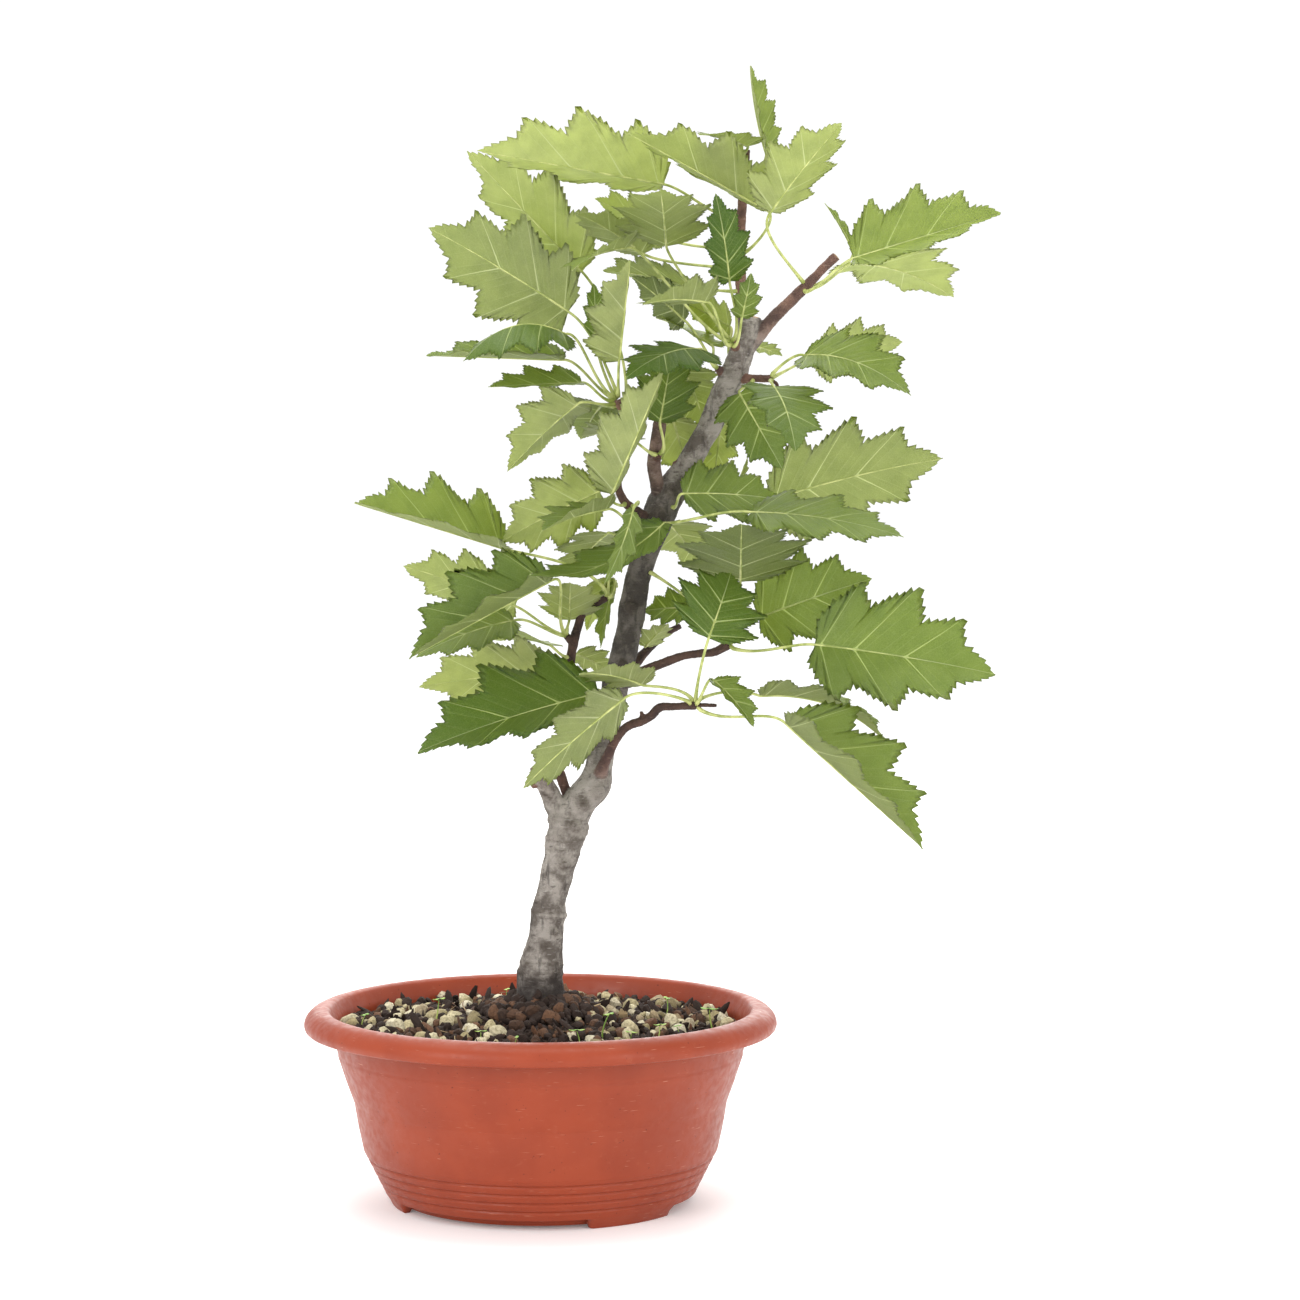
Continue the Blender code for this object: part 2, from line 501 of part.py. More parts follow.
def leaf_rings(row):
    """Eight-point rings along a leaf, from the stalk's foot to the last vein, and the blade's tip.

    A blade point is midrib(u) + s * (margin(u) - midrib(u)) in the plane of the leaf. Its distance from
    the midrib then folds up by the fold angle, and the midrib rises along a parabola.
    """
    hint, base, tip, face, fold, arch, width = row
    foot, outward = stand_off(hint)
    base, tip = planted(base), planted(tip)
    length = (tip - base).length
    along = (tip - base) / length
    up = Vector(face)
    up = (up - along * up.dot(along)).normalized()
    left = up.cross(along)
    cosine, sine = math.cos(math.radians(fold)), math.sin(math.radians(fold))

    def blade(a, b, lift):
        rise = arch * 4 * max(0.0, a) * (1 - min(1.0, a))
        across = left * (b * cosine) + up * (abs(b) * sine + rise)
        return base + (along * a + across) * length + up * lift

    rings = []
    start = foot + (outward + (base - foot).normalized()).normalized() * (base - foot).length * 0.35
    end = base - along * (base - foot).length * 0.25
    for step in range(STALK_RINGS):
        t = step / STALK_RINGS
        centre = foot * (1 - t) ** 3 + start * 3 * t * (1 - t) ** 2 + end * 3 * t * t * (1 - t) + base * t ** 3
        heading = (start - foot) * 3 * (1 - t) ** 2 + (end - start) * 6 * t * (1 - t) + (base - end) * 3 * t * t
        heading.normalize()
        side = (left - heading * left.dot(heading)).normalized()
        top = heading.cross(side)
        turn = [i * math.pi / 4 for i in range(8)]
        rings.append([centre + (side * math.cos(a) + top * math.sin(a)) * STALK_RADIUS for a in turn])
    for u, p, q in ((0.0, 0.0, STALK_RADIUS / length),) + HALF_BLADE:
        q *= 1.0 if u == 0 else width
        ring = []
        for share, side in ((1, 0), (0.5, 1), (0, 1), (-0.5, 1), (-1, 0), (-0.5, -1), (0, -1), (0.5, -1)):
            a = u + (p - u) * abs(share)
            ring.append(blade(a, q * share, side * LEAF_THICKNESS / 2))
        rings.append(ring)
    return rings, blade(1.0, 0.0, 0.0)


def build_leaf(name, row, parts, material):
    """One leaf, stalk and blade together, as a closed skin over its rings.

    Upper and lower faces are split along the same diagonals, so that a curved blade keeps its thickness.
    """
    rings, tip = leaf_rings(row)
    points = [point for ring in rings for point in ring] + [tip]
    around = 8
    faces = [tuple(reversed(range(around)))]
    for i in range(len(rings) - 1):
        for k in range(around):
            a, b = i * around + k, i * around + (k + 1) % around
            if k < around // 2:
                faces += [(a, b, b + around), (a, b + around, a + around)]
            else:
                faces += [(a, b, a + around), (b, b + around, a + around)]
    last = (len(rings) - 1) * around
    for k in range(around):
        faces.append((last + k, last + (k + 1) % around, len(points) - 1))
    return mesh_object(name, points, faces, parts, material)


def main():
    """Build every piece."""
    clear_scene()
    parts = new_collection("potted_bonsai")
    guides = new_collection("guides")
    build_bowl(parts, guides)
    build_tree(parts, guides)
    build_compost(parts, guides, root_mould(guides))
    build_grit(parts)
    leaf_material = make_material("leaf")
    for number, row in enumerate(LEAVES, 1):
        build_leaf(f"leaf_{number:02d}", row, parts, leaf_material)


main()
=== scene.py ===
"""A young wild service tree trained as a bonsai, in a round terracotta-coloured bowl of compost and grit.

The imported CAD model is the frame. Lengths are typed in millimetres and held in metres; +Z is up and -Y is
the front. A visible piece stands for one CAD node and lies where that node lies, but for the last 16 leaves
and the seedlings and fibres, which the CAD model leaves out.
"""
import math

import bmesh
import bpy
import numpy as np
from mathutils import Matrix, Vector


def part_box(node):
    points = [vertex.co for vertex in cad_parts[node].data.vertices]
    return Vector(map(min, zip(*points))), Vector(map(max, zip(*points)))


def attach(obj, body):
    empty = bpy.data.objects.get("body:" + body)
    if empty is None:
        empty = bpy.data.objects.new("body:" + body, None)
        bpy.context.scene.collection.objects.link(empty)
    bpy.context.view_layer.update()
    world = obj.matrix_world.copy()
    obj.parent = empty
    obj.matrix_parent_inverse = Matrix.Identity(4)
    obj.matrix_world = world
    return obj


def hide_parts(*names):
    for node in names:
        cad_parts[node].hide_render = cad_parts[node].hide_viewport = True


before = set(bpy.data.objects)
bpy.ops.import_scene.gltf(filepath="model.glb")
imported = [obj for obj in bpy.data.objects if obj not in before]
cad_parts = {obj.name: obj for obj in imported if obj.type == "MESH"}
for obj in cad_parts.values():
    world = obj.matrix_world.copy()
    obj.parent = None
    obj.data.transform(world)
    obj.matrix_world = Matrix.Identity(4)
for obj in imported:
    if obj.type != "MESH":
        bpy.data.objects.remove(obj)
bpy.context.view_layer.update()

MM = 0.001


# ---- Shared helpers ----
# Colours, nodes, materials and meshes are made the same way for every piece. A mesh is always a closed
# skin given as arrays of points and faces.

def colour(code):
    """A colour written as six sRGB hex digits, as the linear RGBA that a shader wants."""
    part = np.array([int(code[i:i + 2], 16) / 255 for i in (0, 2, 4)])
    linear = np.where(part <= 0.04045, part / 12.92, ((part + 0.055) / 1.055) ** 2.4)
    return (*linear.tolist(), 1.0)


def node(material, kind, inputs=None, **settings):
    """Add a node. Inputs are values, or output sockets to link; settings are the node's own properties."""
    tree = material.node_tree
    made = tree.nodes.new(kind)
    for name, value in settings.items():
        setattr(made, name, value)
    for name, value in (inputs or {}).items():
        if isinstance(value, bpy.types.NodeSocket):
            tree.links.new(value, made.inputs[name])
        else:
            made.inputs[name].default_value = value
    return made


def new_material(name, **plain):
    """A material with its Principled shader, whose plain values are set by input name."""
    material = bpy.data.materials.new(name)
    material.use_nodes = True
    shader = material.node_tree.nodes["Principled BSDF"]
    for key, value in plain.items():
        shader.inputs[key.replace("_", " ")].default_value = value
    return material, shader


def blend_colour(material, factor, first, second, mode="MIX"):
    """The colour between two colours or colour sockets."""
    inputs = {0: factor, 6: first, 7: second}
    return node(material, "ShaderNodeMix", inputs, data_type="RGBA", blend_type=mode).outputs[2]


def math_node(material, operation, first, second=0.0):
    """One arithmetic step on two values or value sockets."""
    return node(material, "ShaderNodeMath", {0: first, 1: second}, operation=operation).outputs[0]


def smooth_band(material, value, low, high, start=0.0, end=1.0):
    """A value that goes smoothly from start, where the input is low, to end, where it is high."""
    inputs = {"Value": value, "From Min": low, "From Max": high, "To Min": start, "To Max": end}
    return node(material, "ShaderNodeMapRange", inputs, interpolation_type="SMOOTHSTEP").outputs["Result"]


def noise(material, where, size, detail=4.0, roughness=0.55, stretch=(1, 1, 1), distortion=0.0):
    """A noise value whose features are about size metres across, along stretched coordinates."""
    scaled = node(material, "ShaderNodeMapping", {"Vector": where, "Scale": stretch}).outputs[0]
    inputs = {"Vector": scaled, "Scale": 1 / size, "Detail": detail, "Roughness": roughness, "Distortion": distortion}
    return node(material, "ShaderNodeTexNoise", inputs).outputs[0]


def object_place(material):
    """Coordinates in metres from the bowl's axis on the bench."""
    return node(material, "ShaderNodeTexCoord").outputs["Object"]


def attribute(material, name):
    """A number stored on the mesh's points."""
    return node(material, "ShaderNodeAttribute", attribute_name=name).outputs["Fac"]


def add_bump(material, shader, height, distance, strength=1.0):
    """Tilt the shading by a height that is distance metres deep."""
    made = node(material, "ShaderNodeBump", {"Height": height, "Distance": distance, "Strength": strength})
    material.node_tree.links.new(made.outputs[0], shader.inputs["Normal"])


def link(material, source, shader, name):
    """Link a socket to one of a shader's inputs."""
    material.node_tree.links.new(source, shader.inputs[name])


def grid_faces(rows, around):
    """Quads of a tube of rings with the given number of points around, outward when rings run upward."""
    ring = np.arange(rows - 1)[:, None] * around
    step = np.arange(around)[None, :]
    a = ring + step
    b = ring + (step + 1) % around
    return np.stack([a, b, b + around, a + around], axis=-1).reshape(-1, 4)


def end_fans(rows, around):
    """Triangles that close such a tube at its first and last ring. Its two end points follow the rings'."""
    step = np.arange(around)
    after = (step + 1) % around
    last = (rows - 1) * around
    end = np.full(around, rows * around)
    return np.concatenate([np.stack([end, after, step], -1), np.stack([end + 1, last + step, last + after], -1)])


def mesh_piece(name, points, quads, triangles=None, materials=(), smooth=True, slots=None):
    """A mesh object from arrays, with its faces' material slots."""
    triangles = np.zeros((0, 3), int) if triangles is None else triangles
    corners = np.concatenate([quads.reshape(-1), triangles.reshape(-1)])
    sizes = np.concatenate([np.full(len(quads), 4), np.full(len(triangles), 3)])
    mesh = bpy.data.meshes.new(name)
    mesh.vertices.add(len(points))
    mesh.vertices.foreach_set("co", np.asarray(points, np.float32).reshape(-1))
    mesh.loops.add(len(corners))
    mesh.loops.foreach_set("vertex_index", corners.astype(np.int32))
    mesh.polygons.add(len(sizes))
    starts = np.concatenate([[0], np.cumsum(sizes)[:-1]])
    mesh.polygons.foreach_set("loop_start", starts.astype(np.int32))
    mesh.polygons.foreach_set("use_smooth", np.full(len(sizes), smooth))
    for material in materials:
        mesh.materials.append(material)
    if slots is not None:
        mesh.polygons.foreach_set("material_index", np.asarray(slots, np.int32))
    mesh.update(calc_edges=True)
    mesh.validate()
    piece = bpy.data.objects.new(name, mesh)
    bpy.context.scene.collection.objects.link(piece)
    return piece


def store(piece, name, values):
    """Store a number on each of the mesh's points."""
    made = piece.data.attributes.new(name, "FLOAT", "POINT")
    made.data.foreach_set("value", np.asarray(values, np.float32))


def settle(piece):
    """Replace the piece's mesh by what its modifiers make of it."""
    made = bpy.data.meshes.new_from_object(piece.evaluated_get(bpy.context.evaluated_depsgraph_get()))
    piece.modifiers.clear()
    piece.data = made


def place(piece, node_name):
    """The piece belongs to the one body and stands for a CAD node, which it hides."""
    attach(piece, "root")
    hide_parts(node_name)


def wobble(points, size, seed, waves=9):
    """A smooth random value near -1 to 1 at each point: a sum of sine waves in random directions."""
    draw = np.random.default_rng(seed)
    total = np.zeros(len(points))
    for _ in range(waves):
        way = draw.normal(size=3)
        way *= draw.uniform(0.6, 1.7) * 2 * math.pi / size / np.linalg.norm(way)
        total += np.sin(points @ way + draw.uniform(0, 2 * math.pi))
    return total / math.sqrt(waves)


# ---- Camera, light and floor ----
# A long lens looks at the tree from the front, a little from above. The light is a bright, even studio
# light from all round, strongest from above, so that leaves seen from below glow.

def add_area(name, place_at, target, size, power, tint):
    """A soft square lamp that points at a target."""
    lamp = bpy.data.lights.new(name, "AREA")
    lamp.size = size
    lamp.energy = power
    lamp.color = tint
    lamp_object = bpy.data.objects.new(name, lamp)
    lamp_object.location = place_at
    lamp_object.rotation_euler = (Vector(target) - Vector(place_at)).to_track_quat("-Z", "Y").to_euler()
    bpy.context.scene.collection.objects.link(lamp_object)


camera_data = bpy.data.cameras.new("camera")
camera_data.lens = 107.2
camera_data.sensor_width = 36.0
camera = bpy.data.objects.new("camera", camera_data)
camera.location = (0.0532, -1.870, 0.397)
camera.rotation_euler = (math.radians(90 - 3.92), 0, 0)
bpy.context.scene.collection.objects.link(camera)
bpy.context.scene.camera = camera

add_area("overhead", (0.1, 0.35, 1.9), (0.05, 0.0, 0.3), 1.6, 30, (1.0, 0.99, 0.96))
add_area("front_left", (-1.3, -1.7, 1.1), (0.05, 0.0, 0.3), 1.2, 22, (1.0, 1.0, 1.0))
add_area("front_right", (1.5, -1.5, 0.8), (0.05, 0.0, 0.3), 1.2, 12, (1.0, 1.0, 1.0))
add_area("behind", (0.1, 1.8, 0.9), (0.05, 0.0, 0.35), 1.4, 14, (1.0, 1.0, 0.97))

world = bpy.data.worlds.new("studio")
world.use_nodes = True
world.node_tree.nodes["Background"].inputs["Color"].default_value = (1, 1, 1, 1)
world.node_tree.nodes["Background"].inputs["Strength"].default_value = 1.06
bpy.context.scene.world = world
bpy.context.scene.view_settings.view_transform = "Standard"

floor_material, _ = new_material(
    "matt white bench", Base_Color=(0.93, 0.93, 0.93, 1), Roughness=0.9,
    Emission_Strength=0.12, Emission_Color=(1, 1, 1, 1),
)
floor = mesh_piece(
    "floor",
    np.array([(x * 6, y * 6, z) for z in (0, -0.01) for x, y in ((-1, -1), (1, -1), (1, 1), (-1, 1))]),
    np.array([(0, 1, 2, 3), (7, 6, 5, 4), (0, 4, 5, 1), (1, 5, 6, 2), (2, 6, 7, 3), (3, 7, 4, 0)]),
    materials=(floor_material,),
    smooth=False,
)


# ---- Bowl ----
# A moulded plastic bowl with a rolled lip, four faint grooves above its foot and three short curved
# feet. The plastic is terracotta-coloured, slightly shiny, and marked by handling.

bowl_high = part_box("bowl")[1]
RIM = bowl_high.z
LIP_RADIUS = bowl_high.x
FOOT_RADIUS = 73 * MM
FOOT_WIDTH = 3 * MM
FOOT_HEIGHT = 5 * MM
FOOT_SPAN = math.radians(39)
FOOT_TURN = math.radians(-51)
WALL = 2.2 * MM
FLOOR_TOP = 6.5 * MM
LIP_DEPTH = 11 * MM
GROOVE_HEIGHTS = (9.5, 14, 18.5, 23)   # millimetres above the bench
WALL_CURVE = (
    (0.0, 0.0), (0.08, 0.11), (0.31, 0.46), (0.45, 0.55), (0.59, 0.62), (0.70, 0.74), (0.89, 0.93), (1.0, 1.0)
)


def wall_radius(height):
    """Outside radius of the wall at a height: a line through the shares of WALL_CURVE."""
    shoulder = RIM - LIP_DEPTH
    heights, shares = zip(*WALL_CURVE)
    slope = (shares[-1] - shares[-2]) / (heights[-1] - heights[-2])
    level = np.asarray(height) / shoulder
    share = np.interp(level, heights, shares) + np.maximum(0, level - 1) * slope
    return FOOT_RADIUS + (LIP_RADIUS - 14 * MM - FOOT_RADIUS) * share


def bowl_outline():
    """(radius, height, is it part of the foot) round half the section, from the underside's middle out."""
    crest = LIP_RADIUS - 10 * MM
    inner_foot = FOOT_RADIUS - FOOT_WIDTH
    rows = [(0.2, 0, 0), (11.7, 0, 0), (12, 0.3, 0), (12, 3.5, 0), (61, 3.5, 0), (61.6, 1.8, 0), (62.2, 1.5, 0)]
    rows = [(radius * MM, height * MM, foot) for radius, height, foot in rows]
    rows += [(inner_foot - 1.4 * MM, 1.5 * MM, 0), (inner_foot - 1 * MM, 1.7 * MM, 0)]
    rows += [(inner_foot - 0.9 * MM, 3 * MM, 2)]
    rows += [(inner_foot, 0.3 * MM, 1), (inner_foot + 0.3 * MM, 0, 1)]
    rows += [(FOOT_RADIUS - 0.3 * MM, 0, 1), (FOOT_RADIUS, 0.4 * MM, 1), (FOOT_RADIUS + 1 * MM, 2.5 * MM, 1)]
    for height in np.arange(5.2, 83.4, 0.4) * MM:
        groove = sum(np.exp(-((height - level * MM) / (0.55 * MM)) ** 2) for level in GROOVE_HEIGHTS) * 1.1 * MM
        ledge = 0.5 * MM / (1 + np.exp((height - 73 * MM) / (0.35 * MM))) - 0.5 * MM
        rows.append((float(wall_radius(height)) - groove + ledge + 0.5 * MM, height, 0))
    shoulder = RIM - LIP_DEPTH
    rows += [(float(wall_radius(shoulder)) + 0.4 * MM, shoulder - 0.2 * MM, 0), (LIP_RADIUS - 3.5 * MM, shoulder, 0)]
    rows += [(LIP_RADIUS - 1.3 * MM, shoulder + 0.5 * MM, 0), (LIP_RADIUS - 0.5 * MM, shoulder + 1.3 * MM, 0)]
    for turn in np.radians(np.arange(90, -0.1, -7.5)):
        radius = crest + 10 * MM * math.sin(turn)
        rows.append((radius, RIM - (LIP_DEPTH - 3 * MM) * (1 - math.cos(turn)), 0))
    rows += [(crest - 1.5 * MM, RIM - 0.4 * MM, 0), (crest - 2.6 * MM, RIM - 1.4 * MM, 0)]
    rows += [(crest - 3.2 * MM, RIM - 3 * MM, 0)]
    for height in np.linspace(RIM - 6 * MM, FLOOR_TOP + 2 * MM, 24):
        rows.append((float(wall_radius(height)) - WALL, height, 0))
    rows += [(float(wall_radius(FLOOR_TOP)) - WALL - 1.5 * MM, FLOOR_TOP, 0), (0.2 * MM, FLOOR_TOP, 0)]
    return np.array(rows)


def foot_share(angle):
    """1 on a foot, 0 between feet, with a short ramp at each end."""
    third = 2 * math.pi / 3
    away = np.abs((angle - FOOT_TURN + third / 2) % third - third / 2)
    return np.clip((FOOT_SPAN / 2 - away) / math.radians(1.2) + 0.5, 0, 1)


outline = bowl_outline()
segments = 288
turn = np.arange(segments) * 2 * math.pi / segments
on_foot = foot_share(turn)[None, :]
radius = np.repeat(outline[:, :1], segments, axis=1)
height = np.repeat(outline[:, 1:2], segments, axis=1)
is_foot = outline[:, 2:3] == 1
height = np.where(is_foot, height * on_foot + (FOOT_HEIGHT + height * 0.02) * (1 - on_foot), height)
radius = radius + 0.12 * MM * np.sin(2 * turn + 0.6)[None, :] * (height / RIM)
points = np.stack([radius * np.cos(turn), radius * np.sin(turn), height], axis=-1).reshape(-1, 3)
points = np.concatenate([points, [(0, 0, 0), (0, 0, FLOOR_TOP)]])

plastic, shader = new_material("moulded terracotta plastic", Specular_IOR_Level=0.3)
where = object_place(plastic)
cloud = noise(plastic, where, 30 * MM, detail=3)
tone = blend_colour(plastic, smooth_band(plastic, cloud, 0.35, 0.65), colour("87341A"), colour("8F391D"))
speck = smooth_band(plastic, noise(plastic, where, 1.6 * MM, detail=2), 0.70, 0.76)
tone = blend_colour(plastic, speck, tone, colour("5E2212"))
scratch = noise(plastic, where, 0.8 * MM, detail=1, stretch=(0.1, 0.1, 2.2))
scratch = smooth_band(plastic, scratch, 0.72, 0.80, 0.0, 0.55)
tone = blend_colour(plastic, scratch, tone, colour("C48A72"))
dust = smooth_band(plastic, noise(plastic, where, 6 * MM, detail=6, roughness=0.7), 0.58, 0.75, 0.0, 0.14)
tone = blend_colour(plastic, dust, tone, colour("B06A50"))
link(plastic, tone, shader, "Base Color")
gloss = smooth_band(plastic, noise(plastic, where, 4 * MM, detail=5), 0.3, 0.7, 0.34, 0.52)
link(plastic, gloss, shader, "Roughness")
add_bump(plastic, shader, noise(plastic, where, 1.1 * MM, detail=3), 0.05 * MM, 0.5)

sides, ends = grid_faces(len(outline), segments), end_fans(len(outline), segments)
bowl = mesh_piece("plastic_bowl", points, sides, ends, (plastic,))
place(bowl, "bowl")


# ---- Compost ----
# Dark crumbly peat, mounded towards the trunk. Its surface is a polar grid raised by a few sizes of
# smooth random wobble; below the surface it is a plain plug that fills the bowl.

COMPOST_EDGE = RIM - 11 * MM
COMPOST_FACE_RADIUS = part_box("compost")[1].x


def compost_top(radius):
    """Height of the compost before crumbs: a low mound round the trunk."""
    share = np.minimum(1.0, np.asarray(radius) / COMPOST_FACE_RADIUS)
    return COMPOST_EDGE + 10 * MM * (1 - share) ** 1.6


rings, around = 110, 300
radius = np.linspace(COMPOST_FACE_RADIUS, 0.8 * MM, rings)[:, None]
turn = (np.arange(around) * 2 * math.pi / around)[None, :]
x, y = radius * np.cos(turn), radius * np.sin(turn)
flat = np.stack([x, y, 0 * x], axis=-1).reshape(-1, 3)
crumbs = 0.7 * wobble(flat, 22 * MM, 1) + 0.5 * wobble(flat, 7 * MM, 2) + 0.4 * wobble(flat, 3 * MM, 3, 14)
height = compost_top(np.hypot(x, y)) + (crumbs * MM).reshape(x.shape)
surface = np.stack([x, y, height], axis=-1).reshape(-1, 3)
levels = np.array([FLOOR_TOP + 0.3 * MM] + [h * MM for h in (12, 26, 38, 50, 59, 75)])
side_radius = wall_radius(levels) - WALL - 0.3 * MM
side = np.stack(
    [side_radius[:, None] * np.cos(turn), side_radius[:, None] * np.sin(turn), levels[:, None] + 0 * turn], axis=-1
).reshape(-1, 3)
points = np.concatenate([side, surface, [(0, 0, levels[0]), (0, 0, compost_top(0))]])
rows = len(levels) + rings

peat, shader = new_material("damp peat", Roughness=0.95)
where = object_place(peat)
crumb = noise(peat, where, 2.2 * MM, detail=8, roughness=0.7)
tone = blend_colour(peat, smooth_band(peat, crumb, 0.35, 0.65), colour("1A100B"), colour("3D2A1E"))
fleck = smooth_band(peat, noise(peat, where, 1.3 * MM, detail=2), 0.66, 0.72)
tone = blend_colour(peat, fleck, tone, colour("6A5440"))
link(peat, tone, shader, "Base Color")
add_bump(peat, shader, crumb, 0.8 * MM, 0.9)
compost = mesh_piece("peat_compost", points, grid_faces(rows, around), end_fans(rows, around), (peat,))
place(compost, "compost")


# ---- Grit, clods and chips ----
# Hundreds of broken stones lie on the compost. A stone is a sphere cut by random planes, and its points
# are at 1 / max(direction . plane normal / plane distance) from its middle. Clods and crumbs of peat and
# flat chips of bark are the same shape. All are one piece, because nobody picks out a single stone.

STONE_PLANES = 12


def sphere_net(levels):
    """Points and triangles of an icosphere of unit radius."""
    work = bmesh.new()
    bmesh.ops.create_icosphere(work, subdivisions=levels, radius=1.0)
    ball = bpy.data.meshes.new("ball")
    work.to_mesh(ball)
    work.free()
    net = np.zeros(len(ball.vertices) * 3, np.float32)
    ball.vertices.foreach_get("co", net)
    corners = np.zeros(len(ball.loops), np.int32)
    ball.loops.foreach_get("vertex_index", corners)
    bpy.data.meshes.remove(ball)
    net = net.reshape(-1, 3).astype(float)
    return net / np.linalg.norm(net, axis=1, keepdims=True), corners.reshape(-1, 3)


def random_turns(draw, count):
    """Random rotation matrices, from random unit quaternions."""
    w, x, y, z = (lambda q: q / np.linalg.norm(q, axis=0))(draw.normal(size=(4, count)))
    rows = [
        [1 - 2 * (y * y + z * z), 2 * (x * y - z * w), 2 * (x * z + y * w)],
        [2 * (x * y + z * w), 1 - 2 * (x * x + z * z), 2 * (y * z - x * w)],
        [2 * (x * z - y * w), 2 * (y * z + x * w), 1 - 2 * (x * x + y * y)],
    ]
    return np.moveaxis(np.array(rows), 2, 0)


def broken_stones(draw, middles, sizes, shares):
    """Points and triangles of many stones. shares are each one's length, breadth and thickness."""
    net, triangles = sphere_net(2)
    count = len(middles)
    planes = draw.normal(size=(count, STONE_PLANES, 3))
    planes /= np.linalg.norm(planes, axis=2, keepdims=True)
    offsets = draw.uniform(0.62, 0.95, size=(count, STONE_PLANES))
    nearness = np.max(np.einsum("vk,spk->svp", net, planes) / offsets[:, None, :], axis=2)
    reach = 1 / np.maximum(nearness, 0.9)
    shape = net[None] * reach[..., None] * shares[:, None, :] * sizes[:, None, None] / 2
    placed = np.einsum("sij,svj->svi", random_turns(draw, count), shape)
    return placed, triangles


def lay_on_compost(placed, spots, sink):
    """Move each stone to its spot so that its lowest point is sunk by that much of its height."""
    low, high = placed[..., 2].min(axis=1), placed[..., 2].max(axis=1)
    base = compost_top(np.hypot(spots[:, 0], spots[:, 1])) - low - sink * (high - low)
    return placed + np.stack([spots[:, 0], spots[:, 1], base], axis=-1)[:, None, :]


def scatter(draw, count, inner, outer, spacing, bare):
    """Random spots in a ring, thrown one after another and kept if they are far enough from the rest.

    The part of the ring where a smooth random field is below bare gets none. The field sinks just in front
    of the trunk, where the peat was dug.
    """
    kept = np.zeros((0, 2))
    while len(kept) < count:
        throws = draw.uniform(-outer, outer, size=(60, 2))
        field = wobble(np.pad(throws, ((0, 0), (0, 1))), 34 * MM, 12)
        field -= 2.2 * np.exp(-((throws[:, 0] / (24 * MM)) ** 2 + ((throws[:, 1] + 48 * MM) / (40 * MM)) ** 2))
        for spot in throws[(np.hypot(*throws.T) < outer) & (np.hypot(*throws.T) > inner) & (field > bare)]:
            if len(kept) < count and (len(kept) == 0 or np.hypot(*(kept - spot).T).min() > spacing):
                kept = np.concatenate([kept, spot[None]])
        spacing *= 0.985
    return kept


draw = np.random.default_rng(31)
STONE_OUTER = COMPOST_FACE_RADIUS - 3.5 * MM
# How many, least and greatest size, shares, how far sunk, spacing, inner and outer radius, bare field, lift,
# heaped at the trunk or not, peat or stone. Lengths are in millimetres, but for the outer radius.
KINDS = (
    (140, 5.5, 11.0, (1.0, 0.8, 0.65), 0.3, 7.8, 27, STONE_OUTER, -0.1, 0.6, False, False),
    (95, 2.5, 5.0, (1.0, 0.85, 0.7), 0.25, 4.0, 22, STONE_OUTER, -0.6, 1.5, False, False),
    (300, 5.0, 13.0, (1.0, 0.36, 0.16), 0.2, 6.0, 11, STONE_OUTER, -9, 0.6, False, True),
    (560, 3.0, 8.0, (1.0, 0.85, 0.75), 0.3, 4.5, 10, STONE_OUTER, -9, 0.6, True, True),
    (150, 4.0, 9.0, (1.0, 0.85, 0.75), 0.3, 3.0, 9, 27 * MM, -9, 0.6, True, True),
    (1500, 1.0, 2.4, (1.0, 0.8, 0.7), 0.2, 2.0, 9, STONE_OUTER, -9, 1.5, False, True),
)
points, faces, tints, peaty, start = [], [], [], [], 0
for count, low, high, shares, sink, spacing, inner, outer, bare, lift, heaped, is_peat in KINDS:
    spots = scatter(draw, count, inner * MM, outer, spacing * MM, bare)
    sizes = draw.uniform(low, high, count) * MM
    spread = np.array(shares) * draw.uniform(0.85, 1.15, size=(count, 3))
    placed, triangles = broken_stones(draw, spots, sizes, spread)
    placed = lay_on_compost(placed, spots, sink)
    heap = np.clip(1.35 - np.hypot(*spots.T) / (24 * MM), 0, 1) * 7.0 * heaped
    placed[..., 2] += ((draw.uniform(0, 1.0, count) * lift + heap) * MM)[:, None]
    corners = placed.shape[1]
    points.append(placed.reshape(-1, 3))
    faces.append((triangles[None] + start + (np.arange(count) * corners)[:, None, None]).reshape(-1, 3))
    tints.append(np.repeat(draw.uniform(0, 1, count), corners))
    peaty.append(np.full(count * corners, float(is_peat)))
    start += count * corners

stone, shader = new_material("broken grit and bark chips", Roughness=0.88)
where = object_place(stone)
tint = attribute(stone, "tint")
ramp = node(stone, "ShaderNodeValToRGB", {"Fac": tint})
ramp.color_ramp.interpolation = "LINEAR"
stops = (
    (0.0, "6E6248"), (0.15, "9E9069"), (0.35, "BFB28B"), (0.55, "D3C9A8"), (0.7, "A3966F"), (0.85, "DDD5BA"),
    (1.0, "8C7450"),
)
for share, code in stops[1:-1]:
    ramp.color_ramp.elements.new(share)
for element, (share, code) in zip(ramp.color_ramp.elements, stops):
    element.position = share
    element.color = colour(code)
grain = noise(stone, where, 1.2 * MM, detail=7, roughness=0.65)
rock = blend_colour(stone, smooth_band(stone, grain, 0.4, 0.7, 0.0, 0.7), ramp.outputs[0], colour("6A5F45"))
wood = blend_colour(stone, smooth_band(stone, tint, 0.6, 1.0), colour("2B1B12"), colour("6B4A33"))
wood = blend_colour(stone, smooth_band(stone, grain, 0.4, 0.7, 0.0, 0.5), wood, colour("1B130E"))
tone = blend_colour(stone, attribute(stone, "bark"), rock, wood)
link(stone, tone, shader, "Base Color")
add_bump(stone, shader, grain, 0.35 * MM, 0.8)
no_quads = np.zeros((0, 4), int)
